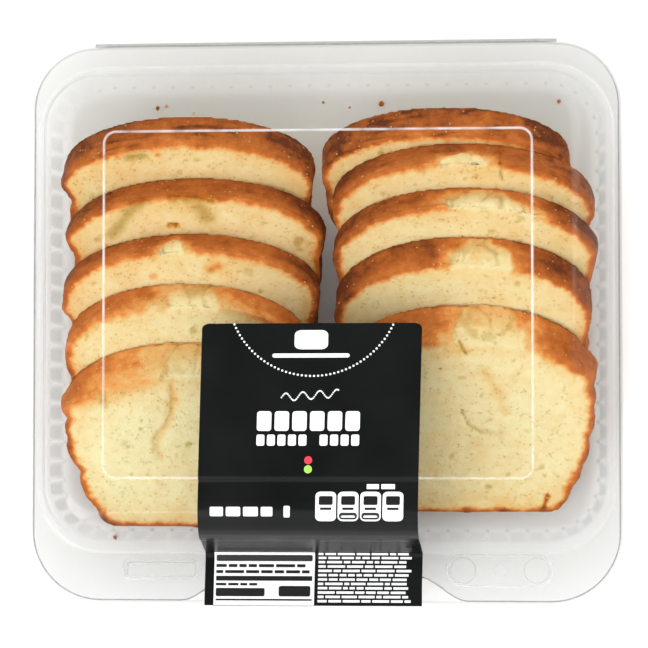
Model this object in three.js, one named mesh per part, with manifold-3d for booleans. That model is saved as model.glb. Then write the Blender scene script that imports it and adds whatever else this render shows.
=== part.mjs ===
// Ten slices of pound cake, leaning in two rows, in a clear hinged clamshell pack with a label over its lid.
// Millimetres, +Z up, +X to the right, +Y towards the hinge. The origin is under the middle of the pack.
import * as THREE from 'three';
import { mergeVertices } from 'three/addons/utils/BufferGeometryUtils.js';
import Module from 'manifold-3d';

// ---- driving dimensions -------------------------------------------------------------------------------
const SHEET = 0.8; // wall of the formed tray and lid
const GAP = 0.3; // clearance between pieces that touch
const FLANGE_TOP = 28; // top of the tray's flange above the table
const LID_TOP = 65; // top of the raised panel of the lid

// Footprints: rounded rectangles, each with the corner radii of its front and its back.
const FLANGE = { halfX: 119, halfY: 112.5, centreY: 0, frontRadius: 29, backRadius: 26 };
const TRAY_MOUTH = { halfX: 113.5, halfY: 95.4, centreY: 7.2, frontRadius: 25, backRadius: 25 };
const DOME = { halfX: 114.6, halfY: 96.8, centreY: 5.8, frontRadius: 26, backRadius: 26 };
const PANEL = { halfX: 83.9, halfY: 68.1, centreY: 5.8, frontRadius: 5.4, backRadius: 5.4 }; // raised

const TRAY_DRAFT = 4.5; // how much each tray wall leans in, from mouth to floor
const FLOOR_FILLET = 4;
const FLUTE = { pitch: 9, depth: 1.1, stepsEach: 4, bottom: 7, top: 23.5, runOut: 2.5 };
const LIP_DROP = 1.2; // the tray's flange ends in a lip turned down
const LIP_WIDTH = 0.8;

const LID_FLANGE_INSET = 1.4; // the lid's flange ends inside the tray's
const DOME_DRAFT = 5;
const SHOULDER_RADIUS = 15;
const PANEL_RISE = 1.2;

const NOTCH = { halfBase: 57, halfTop: 37, depth: 9.8 }; // thumb notch in the lid's front flange
const SNAP_RISE = 2.6; // lid's snap sockets above its flange
const SNAP_Y = -98.6;
const BAR_SNAP = { x: -65.4, halfX: 15.2, halfY: 4.2 };
const OVAL_SNAP = { x: 69.8, halfX: 21.2, halfY: 6.6, pocketHalfX: 10, pocketHalfY: 4.2, pocketDrop: 1.2 };
const KNOB = { radius: 2.4, rise: 0.9 };

const LABEL = { width: 85.4, thickness: 0.4, centreX: -1.7, topY: -1.9, skew: 0.02, cornerRadius: 2.4 };
const LABEL_WRAP = 14; // what the label reaches back under the flange
const LABEL_BEND = 3; // radius at which it turns from the dome's wall to the flange

const SLICE_THICKNESS = 12;
const SLICE_GAP = 0.4;
const CRUST_ROUNDING = 1.4; // the slices' edges
// Each row runs from the hinge to the front: where the top edge of its back face lies, how tall and wide
// it is there, where its middle is, and how much lower its front face is than its back.
const LEFT_ROW = {
  firstLean: 37,
  slices: [
    { crestY: 81.9, height: 68, width: 101, x: -54.3, drop: 5 },
    { crestY: 57.6, height: 70, width: 103, x: -51.2, drop: 1 },
    { crestY: 35.3, height: 73, width: 103, x: -53.2, drop: 0.5 },
    { crestY: 15.4, height: 78, width: 97, x: -55, drop: 3 },
    { crestY: -7.8, height: 80, width: 102, x: -53.2, drop: 8 },
  ],
};
const RIGHT_ROW = {
  firstLean: 38,
  slices: [
    { crestY: 84.7, height: 66, width: 99, x: 48.5, drop: 5 },
    { crestY: 69.8, height: 74, width: 103, x: 55.4, drop: 1 },
    { crestY: 52.1, height: 79, width: 103, x: 56.2, drop: 0.5 },
    { crestY: 32.9, height: 84, width: 101, x: 56, drop: 5 },
    { crestY: 6.5, height: 89, width: 104, x: 56, drop: 10 },
  ],
};
const FOOT_SHARE = 0.8; // width of a slice's base as a share of its widest
const LIP_SHARE = 0.68; // height of its widest place as a share of its own height

// ---- materials ----------------------------------------------------------------------------------------
const clearPlastic = new THREE.MeshStandardMaterial({
  color: 0xe9ebe8, roughness: 0.08, metalness: 0, transparent: true, opacity: 0.35,
});
const labelFilm = new THREE.MeshStandardMaterial({ color: 0x17181a, roughness: 0.35, metalness: 0 });
const cakeCrumb = new THREE.MeshStandardMaterial({ color: 0xeedca6, roughness: 0.9, metalness: 0 });

// ---- manifold-3d, which only joins and cuts --------------------------------------------------------------
const wasm = await Module();
wasm.setup();

function solidOf(geometry) {
  const bare = geometry.clone();
  bare.deleteAttribute('normal');
  bare.deleteAttribute('uv');
  const merged = mergeVertices(bare, 1e-4);
  return new wasm.Manifold(new wasm.Mesh({
    numProp: 3,
    vertProperties: new Float32Array(merged.attributes.position.array),
    triVerts: new Uint32Array(merged.index.array),
  }));
}

function geometryOf(solid) {
  const mesh = solid.getMesh();
  const geometry = new THREE.BufferGeometry();
  geometry.setAttribute('position', new THREE.BufferAttribute(new Float32Array(mesh.vertProperties), 3));
  geometry.setIndex(new THREE.BufferAttribute(new Uint32Array(mesh.triVerts), 1));
  return geometry;
}

// ---- rings and lofts ----------------------------------------------------------------------------------
// One ring of a formed shell: a footprint moved in by `inset` at height z, anticlockwise from above. Every
// point keeps how far round it is, side by side and corner by corner, so that unlike rings can be joined.
function ring(footprint, inset, z, { cornerSteps = 7, fluteDepth = 0 } = {}) {
  const { centreY } = footprint;
  const halfX = footprint.halfX - inset;
  const halfY = footprint.halfY - inset;
  const front = footprint.frontRadius - inset;
  const back = footprint.backRadius - inset;
  const corners = [
    { x: halfX - front, y: centreY - halfY + front, radius: front, from: -90 },
    { x: halfX - back, y: centreY + halfY - back, radius: back, from: 0 },
    { x: back - halfX, y: centreY + halfY - back, radius: back, from: 90 },
    { x: front - halfX, y: centreY - halfY + front, radius: front, from: 180 },
  ];
  const points = [];
  corners.forEach((corner, index) => {
    const next = corners[(index + 1) % corners.length];
    const arcLength = (corner.radius * Math.PI) / 2;
    const sideLength = Math.hypot(next.x - corner.x, next.y - corner.y);
    const arcFlutes = fluteDepth ? Math.round(arcLength / FLUTE.pitch) : 0;
    const sideFlutes = fluteDepth ? Math.round(sideLength / FLUTE.pitch) : 0;
    const arcSteps = fluteDepth ? arcFlutes * FLUTE.stepsEach : cornerSteps;
    const sideSteps = fluteDepth ? sideFlutes * FLUTE.stepsEach : 1;
    const add = (turnDegrees, shiftX, shiftY, share, flutes, round) => {
      const turn = THREE.MathUtils.degToRad(turnDegrees);
      const bulge = fluteDepth * (0.5 - 0.5 * Math.cos(2 * Math.PI * flutes * share)) - fluteDepth / 2;
      const reach = corner.radius + bulge;
      points.push({
        round,
        at: new THREE.Vector3(
          corner.x + shiftX + reach * Math.cos(turn),
          corner.y + shiftY + reach * Math.sin(turn),
          z,
        ),
      });
    };
    for (let step = 0; step < arcSteps; step += 1) {
      const share = step / arcSteps;
      add(corner.from + 90 * share, 0, 0, share, arcFlutes, 2 * index + share);
    }
    const turn = THREE.MathUtils.degToRad(corner.from + 90);
    const endX = next.x + next.radius * Math.cos(turn) - corner.x - corner.radius * Math.cos(turn);
    const endY = next.y + next.radius * Math.sin(turn) - corner.y - corner.radius * Math.sin(turn);
    for (let step = 0; step < sideSteps; step += 1) {
      const share = step / sideSteps;
      add(corner.from + 90, endX * share, endY * share, share, sideFlutes, 2 * index + 1 + share);
    }
  });
  return points;
}

// Joins a list of rings into one closed solid, each end closed by a fan about its middle.
function loft(rings) {
  const positions = [];
  const faces = [];
  const starts = rings.map((points) => {
    const start = positions.length / 3;
    points.forEach(({ at }) => positions.push(at.x, at.y, at.z));
    return start;
  });
  for (let level = 0; level + 1 < rings.length; level += 1) {
    const lower = rings[level];
    const upper = rings[level + 1];
    let low = 0;
    let high = 0;
    while (low < lower.length || high < upper.length) {
      const nextLow = low + 1 < lower.length ? lower[low + 1].round : Infinity;
      const nextHigh = high + 1 < upper.length ? upper[high + 1].round : Infinity;
      const lowVertex = starts[level] + (low % lower.length);
      const highVertex = starts[level + 1] + (high % upper.length);
      const lowDone = low >= lower.length;
      if (!lowDone && (high >= upper.length || nextLow <= nextHigh)) {
        faces.push(lowVertex, starts[level] + ((low + 1) % lower.length), highVertex);
        low += 1;
      } else {
        faces.push(lowVertex, starts[level + 1] + ((high + 1) % upper.length), highVertex);
        high += 1;
      }
    }
  }
  const close = (level, reversed) => {
    const points = rings[level];
    const middle = new THREE.Vector3();
    points.forEach(({ at }) => middle.add(at));
    middle.divideScalar(points.length);
    const centre = positions.length / 3;
    positions.push(middle.x, middle.y, middle.z);
    points.forEach((_, index) => {
      const here = starts[level] + index;
      const next = starts[level] + ((index + 1) % points.length);
      faces.push(centre, reversed ? next : here, reversed ? here : next);
    });
  };
  close(0, true);
  close(rings.length - 1, false);
  const geometry = new THREE.BufferGeometry();
  geometry.setAttribute('position', new THREE.Float32BufferAttribute(positions, 3));
  geometry.setIndex(faces);
  return geometry;
}

// ---- snaps --------------------------------------------------------------------------------------------
// An upright block with a rounded outline: bar, oval or round.
function block({ x, halfX, halfY, radius }, bottom, top) {
  const footprint = { halfX, halfY, centreY: 0, frontRadius: radius, backRadius: radius };
  const outline = new THREE.Shape();
  const flatX = footprint.halfX - radius;
  const flatY = footprint.halfY - radius;
  outline.absarc(flatX, -flatY, radius, -Math.PI / 2, 0);
  outline.absarc(flatX, flatY, radius, 0, Math.PI / 2);
  outline.absarc(-flatX, flatY, radius, Math.PI / 2, Math.PI);
  outline.absarc(-flatX, -flatY, radius, Math.PI, 1.5 * Math.PI);
  const geometry = new THREE.ExtrudeGeometry(outline, {
    depth: top - bottom, bevelEnabled: false, curveSegments: 5,
  });
  geometry.translate(x, SNAP_Y, bottom);
  return solidOf(geometry);
}

const shrunk = (snap, by) => ({
  x: snap.x, halfX: snap.halfX - by, halfY: snap.halfY - by, radius: snap.radius - by,
});
const barSocket = { ...BAR_SNAP, radius: 2.6 };
const ovalSocket = { ...OVAL_SNAP, radius: OVAL_SNAP.halfY - 0.05 };
const ovalPocket = { x: OVAL_SNAP.x, halfX: OVAL_SNAP.pocketHalfX, halfY: OVAL_SNAP.pocketHalfY, radius: 1 };
const ovalReach = OVAL_SNAP.halfX - OVAL_SNAP.halfY;
const roundPlugs = [-ovalReach, ovalReach].map((shift) => ({
  x: OVAL_SNAP.x + shift, halfX: OVAL_SNAP.halfY, halfY: OVAL_SNAP.halfY, radius: OVAL_SNAP.halfY - 0.05,
}));

// ---- tray ---------------------------------------------------------------------------------------------
const trayInset = (z) => (TRAY_DRAFT * (FLANGE_TOP - z)) / FLANGE_TOP;

// The tray's wall from floor to mouth, as seen from outside (sheet 0) or from inside (sheet SHEET).
function trayWall(sheet) {
  const rings = [];
  const fillet = FLOOR_FILLET - sheet;
  const floorInset = trayInset(FLOOR_FILLET) + FLOOR_FILLET;
  [90, 45, 0].forEach((degrees) => {
    const angle = THREE.MathUtils.degToRad(degrees);
    const inset = floorInset - fillet * Math.cos(angle);
    rings.push(ring(TRAY_MOUTH, inset, FLOOR_FILLET - fillet * Math.sin(angle)));
  });
  const fluted = (z, depth) => ring(TRAY_MOUTH, trayInset(z) + sheet, z, { fluteDepth: depth });
  rings.push(fluted(FLUTE.bottom, FLUTE.depth), fluted(FLUTE.top, FLUTE.depth));
  rings.push(ring(TRAY_MOUTH, trayInset(FLUTE.top + FLUTE.runOut) + sheet, FLUTE.top + FLUTE.runOut));
  return rings;
}

function makeTray() {
  const underside = FLANGE_TOP - SHEET;
  const shell = solidOf(loft([
    ...trayWall(0),
    ring(TRAY_MOUTH, 0, underside),
    ring(FLANGE, LIP_WIDTH, underside),
    ring(FLANGE, LIP_WIDTH, underside - LIP_DROP),
    ring(FLANGE, 0, underside - LIP_DROP),
    ring(FLANGE, 0, FLANGE_TOP),
    ring(TRAY_MOUTH, SHEET / 2, FLANGE_TOP),
    ...trayWall(SHEET).reverse(),
  ]));
  // The plugs that the lid's sockets press over, formed up from the flange and open below.
  const plugs = [shrunk(barSocket, SHEET + GAP), ...roundPlugs.map((plug) => shrunk(plug, SHEET + GAP))];
  const plugTop = FLANGE_TOP + 1.6;
  const raised = plugs.reduce((solid, plug) => solid.add(block(plug, underside + 0.1, plugTop)), shell);
  return plugs.reduce(
    (solid, plug) => solid.subtract(block(shrunk(plug, SHEET), underside - 1, plugTop - SHEET)),
    raised,
  );
}

// ---- lid ----------------------------------------------------------------------------------------------
const LID_UNDER = FLANGE_TOP + GAP; // underside of the lid's flange
const DOME_FOOT = LID_UNDER + SHEET;
const SHELF_Z = LID_TOP - PANEL_RISE; // flat round the raised panel
const SHOULDER_Z = SHELF_Z - SHOULDER_RADIUS; // centre of the shoulder's arc
const SHOULDER_STEPS = 4;

// The dome's section as footprint, inset and height, from its foot up to the raised panel, moved off its
// outer face by `off` (negative is inwards).
function domeSection(off) {
  const section = [{ footprint: DOME, inset: -off, z: DOME_FOOT }];
  for (let step = 0; step <= SHOULDER_STEPS; step += 1) {
    const angle = ((Math.PI / 2) * step) / SHOULDER_STEPS;
    section.push({
      footprint: DOME,
      inset: DOME_DRAFT + SHOULDER_RADIUS - (SHOULDER_RADIUS + off) * Math.cos(angle),
      z: SHOULDER_Z + (SHOULDER_RADIUS + off) * Math.sin(angle),
    });
  }
  section.push({ footprint: PANEL, inset: -off * Math.tan(Math.PI / 8), z: SHELF_Z + off });
  section.push({ footprint: PANEL, inset: PANEL_RISE - off * Math.tan(Math.PI / 8), z: LID_TOP + off });
  return section;
}

function notchCutter() {
  const edge = -FLANGE.halfY;
  const deep = edge + LID_FLANGE_INSET + NOTCH.depth;
  const bend = (NOTCH.halfBase - NOTCH.halfTop) / 2;
  const shape = new THREE.Shape();
  shape.moveTo(-NOTCH.halfBase, edge - 1);
  shape.lineTo(NOTCH.halfBase, edge - 1);
  shape.lineTo(NOTCH.halfBase, edge + LID_FLANGE_INSET);
  shape.bezierCurveTo(
    NOTCH.halfBase - bend, edge + LID_FLANGE_INSET, NOTCH.halfTop + bend, deep, NOTCH.halfTop, deep,
  );
  shape.lineTo(-NOTCH.halfTop, deep);
  shape.bezierCurveTo(
    -NOTCH.halfTop - bend, deep, bend - NOTCH.halfBase, edge + LID_FLANGE_INSET,
    -NOTCH.halfBase, edge + LID_FLANGE_INSET,
  );
  const geometry = new THREE.ExtrudeGeometry(shape, { depth: 3, bevelEnabled: false, curveSegments: 8 });
  geometry.translate(0, 0, LID_UNDER - 1);
  return solidOf(geometry);
}

function makeLid() {
  const domeRings = (off) => domeSection(off).map(({ footprint, inset, z }) => ring(footprint, inset, z));
  const flangeEdge = (z) => ring(FLANGE, LID_FLANGE_INSET, z);
  let lid = solidOf(loft([
    ...domeRings(-SHEET).slice(1).reverse(),
    ring(DOME, SHEET, LID_UNDER),
    flangeEdge(LID_UNDER),
    flangeEdge(DOME_FOOT),
    ...domeRings(0),
  ]));
  const socketTop = DOME_FOOT + SNAP_RISE;
  const sockets = [barSocket, ovalSocket];
  sockets.forEach((socket) => {
    lid = lid.add(block(socket, LID_UNDER + 0.1, socketTop));
  });
  sockets.forEach((socket) => {
    lid = lid.subtract(block(shrunk(socket, SHEET), LID_UNDER - 1, socketTop - SHEET));
  });
  // The oval socket's top is pressed down into a small pan with a knob in it.
  const panFloor = socketTop - OVAL_SNAP.pocketDrop;
  lid = lid.add(block(ovalPocket, panFloor - SHEET, socketTop - 0.05));
  lid = lid.subtract(block(shrunk(ovalPocket, SHEET), panFloor, socketTop + 1));
  const knob = { x: OVAL_SNAP.x, halfX: KNOB.radius, halfY: KNOB.radius, radius: KNOB.radius - 0.05 };
  lid = lid.add(block(knob, panFloor - 0.2, panFloor + KNOB.rise));
  return lid.subtract(notchCutter());
}

// ---- label --------------------------------------------------------------------------------------------
// A strip of film along a path in the Y-Z plane. Each place on the path gives the film's under side and
// the way it faces, and how much narrower it is there than the whole.
function makeStrip(path) {
  const rings = path.map(({ y, z, faceY, faceZ, narrower = 0 }) => {
    const halfWidth = LABEL.width / 2 - narrower;
    const middle = LABEL.centreX + LABEL.skew * (y - LABEL.topY);
    const corner = (side, lift, round) => ({
      round,
      at: new THREE.Vector3(middle + side * halfWidth, y + faceY * lift, z + faceZ * lift),
    });
    return [
      corner(-1, 0, 0), corner(1, 0, 1), corner(1, LABEL.thickness, 2), corner(-1, LABEL.thickness, 3),
    ];
  });
  return solidOf(loft(rings));
}

// Turns a list of [y, z] places into a path whose film faces away from the pack.
function facingPath(places) {
  return places.map(([y, z], index) => {
    const [beforeY, beforeZ] = places[Math.max(index - 1, 0)];
    const [afterY, afterZ] = places[Math.min(index + 1, places.length - 1)];
    const along = new THREE.Vector2(afterY - beforeY, afterZ - beforeZ).normalize();
    return { y, z, faceY: along.y, faceZ: -along.x };
  });
}

const flangeFilmZ = DOME_FOOT + GAP;
const edgeY = -FLANGE.halfY - GAP; // the film's inner face in front of the flange

function makeTopLabel() {
  const frontY = ({ footprint, inset }) => footprint.centreY - footprint.halfY + inset;
  const overDome = domeSection(GAP).slice(1).map((place) => [frontY(place), place.z]);
  const places = [[LABEL.topY, LID_TOP + GAP], [LABEL.topY - LABEL.cornerRadius, LID_TOP + GAP]];
  places.push(...overDome.reverse());
  const wallFoot = DOME.centreY - DOME.halfY - GAP + (DOME_DRAFT * LABEL_BEND) / (SHOULDER_Z - DOME_FOOT);
  places.push([wallFoot, flangeFilmZ + LABEL_BEND]);
  places.push([wallFoot - 0.3 * LABEL_BEND, flangeFilmZ + 0.3 * LABEL_BEND]);
  places.push([wallFoot - LABEL_BEND, flangeFilmZ], [edgeY - LABEL.thickness, flangeFilmZ]);
  const path = facingPath(places);
  path[0].narrower = LABEL.cornerRadius;
  // Rounded corners at the label's top edge.
  const steps = 4;
  for (let step = 1; step < steps; step += 1) {
    const angle = ((Math.PI / 2) * step) / steps;
    path.splice(step, 0, {
      ...path[0],
      y: LABEL.topY - LABEL.cornerRadius * (1 - Math.cos(angle)),
      narrower: LABEL.cornerRadius * (1 - Math.sin(angle)),
    });
  }
  return makeStrip(path);
}

function makeFrontLabel() {
  const top = flangeFilmZ - GAP;
  const under = FLANGE_TOP - SHEET - LIP_DROP - GAP;
  const turn = LABEL.thickness;
  return makeStrip([
    { y: edgeY, z: top, faceY: -1, faceZ: 0 },
    { y: edgeY, z: under, faceY: -1, faceZ: -turn / LABEL.thickness },
    { y: edgeY + LABEL_WRAP, z: under, faceY: 0, faceZ: -1 },
  ]);
}

// ---- cake ---------------------------------------------------------------------------------------------
// A slice's outline seen from its cut face: a narrow base, sides that flare to a lip, and a low domed top.
function sliceOutline(width, height) {
  const lip = width / 2;
  const foot = lip * FOOT_SHARE;
  const lipHeight = height * LIP_SHARE;
  const corner = 6;
  const outline = new THREE.Shape();
  outline.moveTo(corner - foot, 0);
  outline.lineTo(foot - corner, 0);
  outline.quadraticCurveTo(foot, 0, foot + 1.2, corner);
  outline.bezierCurveTo(foot + 6, 0.4 * lipHeight, lip, 0.7 * lipHeight, lip, lipHeight);
  outline.bezierCurveTo(lip, lipHeight + 0.16 * height, 0.62 * lip, height, 0, height);
  outline.bezierCurveTo(-0.62 * lip, height, -lip, lipHeight + 0.16 * height, -lip, lipHeight);
  outline.bezierCurveTo(-lip, 0.7 * lipHeight, -foot - 6, 0.4 * lipHeight, -foot - 1.2, corner);
  outline.quadraticCurveTo(-foot, 0, corner - foot, 0);
  return outline.getPoints(5).slice(0, -1);
}

function sliceRing(outline, depth, inset) {
  return outline.map((point, index) => {
    const before = outline[(index + outline.length - 1) % outline.length];
    const after = outline[(index + 1) % outline.length];
    const along = after.clone().sub(before).normalize();
    const at = new THREE.Vector3(point.x - along.y * inset, point.y + along.x * inset, depth);
    return { round: index, at };
  });
}

function makeSlice({ width, height, drop }) {
  const back = sliceOutline(width, height);
  const front = sliceOutline(width, height - drop);
  return solidOf(loft([
    sliceRing(back, 0, CRUST_ROUNDING),
    sliceRing(back, CRUST_ROUNDING, 0),
    sliceRing(front, SLICE_THICKNESS - CRUST_ROUNDING, 0),
    sliceRing(front, SLICE_THICKNESS, CRUST_ROUNDING),
  ]));
}

// Where each slice of a row stands: its foot is on the floor, and the top edge of its back face rests on
// the front face of the slice behind.
function leanRow({ firstLean, slices }) {
  const floor = SHEET + GAP;
  let behind = null;
  return slices.map((slice) => {
    let lean = THREE.MathUtils.degToRad(firstLean);
    if (behind) {
      const cornerY = behind.footY - SLICE_THICKNESS * Math.sin(behind.lean);
      const cornerZ = floor + SLICE_THICKNESS * Math.cos(behind.lean);
      const faceZ = cornerZ + (slice.crestY - cornerY) * Math.tan(behind.lean);
      const crestZ = faceZ + SLICE_GAP / Math.cos(behind.lean);
      lean = Math.asin((crestZ - floor) / slice.height);
    }
    behind = { footY: slice.crestY - slice.height * Math.cos(lean), lean };
    return { ...behind, floor };
  });
}

// ---- assembly -----------------------------------------------------------------------------------------
const pack = new THREE.Group();

function addNode(name, solid, material) {
  const mesh = new THREE.Mesh(geometryOf(solid), material);
  mesh.name = name;
  pack.add(mesh);
  return mesh;
}

addNode('tray', makeTray(), clearPlastic);
addNode('lid', makeLid(), clearPlastic);
addNode('label_top', makeTopLabel(), labelFilm);
addNode('label_front', makeFrontLabel(), labelFilm);

Object.entries({ slice_left: LEFT_ROW, slice_right: RIGHT_ROW }).forEach(([rowName, row]) => {
  leanRow(row).forEach(({ footY, lean, floor }, index) => {
    const slice = addNode(`${rowName}_${index + 1}`, makeSlice(row.slices[index]), cakeCrumb);
    slice.position.set(row.slices[index].x, footY, floor);
    slice.rotation.x = lean;
  });
});

export default pack;
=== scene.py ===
"""Pound cake slices in a clear clamshell pack: the looks of the pack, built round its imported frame."""
import math
import random

import bmesh
import bpy
import numpy as np
from bpy.props import FloatProperty, FloatVectorProperty, IntProperty, PointerProperty
from mathutils import Matrix, Vector, noise


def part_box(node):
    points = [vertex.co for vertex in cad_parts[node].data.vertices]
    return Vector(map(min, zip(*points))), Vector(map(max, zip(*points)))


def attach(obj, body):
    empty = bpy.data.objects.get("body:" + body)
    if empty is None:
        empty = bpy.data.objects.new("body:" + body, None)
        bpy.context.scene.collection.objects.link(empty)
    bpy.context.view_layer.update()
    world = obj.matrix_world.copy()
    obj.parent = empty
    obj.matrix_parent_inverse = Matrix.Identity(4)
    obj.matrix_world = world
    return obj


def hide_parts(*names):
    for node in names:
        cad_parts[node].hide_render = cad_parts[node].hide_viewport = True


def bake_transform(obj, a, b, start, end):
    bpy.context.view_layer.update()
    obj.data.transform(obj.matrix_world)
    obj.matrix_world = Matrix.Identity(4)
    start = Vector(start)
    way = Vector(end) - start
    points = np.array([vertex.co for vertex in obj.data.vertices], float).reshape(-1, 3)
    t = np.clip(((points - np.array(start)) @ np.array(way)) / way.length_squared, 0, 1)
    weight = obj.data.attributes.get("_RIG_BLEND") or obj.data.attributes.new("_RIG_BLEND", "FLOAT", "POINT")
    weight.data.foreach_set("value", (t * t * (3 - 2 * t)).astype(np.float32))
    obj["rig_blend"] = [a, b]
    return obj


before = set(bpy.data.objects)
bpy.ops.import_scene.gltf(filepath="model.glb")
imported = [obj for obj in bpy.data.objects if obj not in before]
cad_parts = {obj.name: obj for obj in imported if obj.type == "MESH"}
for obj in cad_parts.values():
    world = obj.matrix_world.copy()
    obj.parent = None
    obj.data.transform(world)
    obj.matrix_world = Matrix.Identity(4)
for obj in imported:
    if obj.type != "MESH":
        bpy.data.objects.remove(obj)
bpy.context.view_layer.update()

bl_info = {
    "name": "Clamshell Cake Pack",
    "version": (1, 0, 0),
    "blender": (4, 5, 0),
    "location": "View3D > Sidebar > Cake Pack",
    "description": "Models sliced pound cake in a clear hinged pack with a label",
    "category": "Object",
}

MM = 0.001

# ---- the pack's own dimensions, in millimetres, as its construction has them ---------------------
FLANGE_TOP = 28.0
LID_UNDER = 28.3
LID_TOP = 65.0
FLANGE = {"half_x": 119.0, "half_y": 112.5, "centre_y": 0.0, "front": 29.0, "back": 26.0}
TRAY_MOUTH = {"half_x": 113.5, "half_y": 95.4, "centre_y": 7.2, "front": 25.0, "back": 25.0}
DOME = {"half_x": 114.6, "half_y": 96.8, "centre_y": 5.8, "front": 26.0, "back": 26.0}
PANEL = {"half_x": 83.9, "half_y": 68.1, "centre_y": 5.8, "front": 5.4, "back": 5.4}
TRAY_DRAFT = 4.5
FLOOR_FILLET = 4.0
LID_FLANGE_INSET = 1.4
NOTCH = {"half_base": 57.0, "half_top": 37.0, "depth": 9.8}
DOME_DRAFT = 5.0
SHOULDER_RADIUS = 15.0
PANEL_RISE = 1.2
FLUTES_LONG, FLUTES_SHORT, FLUTES_CORNER = 22, 18, 5
LABEL_WIDTH = 85.4
LABEL_CENTRE_X = -1.7
LABEL_TOP_Y = -1.9
LABEL_SKEW = 0.0265
LABEL_LIFT = 0.35
LABEL_FLARE = 0.016
SNAP_Y = -98.6
HINGE_Y, HINGE_Z = 112.5, 28.15
TABLE_GAP = 0.25
SOLID_SHEET = 0.8  # sheet thickness that the solids' heights are built on
TRAY_FLOOR = 0.6  # top of the tray's floor, where crumbs lie
CAKE_FLOOR = 0.75  # no part of a slice is lower
CRUST_ROUNDING = 1.4
FILM, INK = 0.15, 0.03
BAR_X, OVAL_X, PLUG_SPREAD = -65.4, 69.8, 14.6
HINGE_HALF_LENGTH, HINGE_FADE_START = 93.0, 86.0

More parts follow.
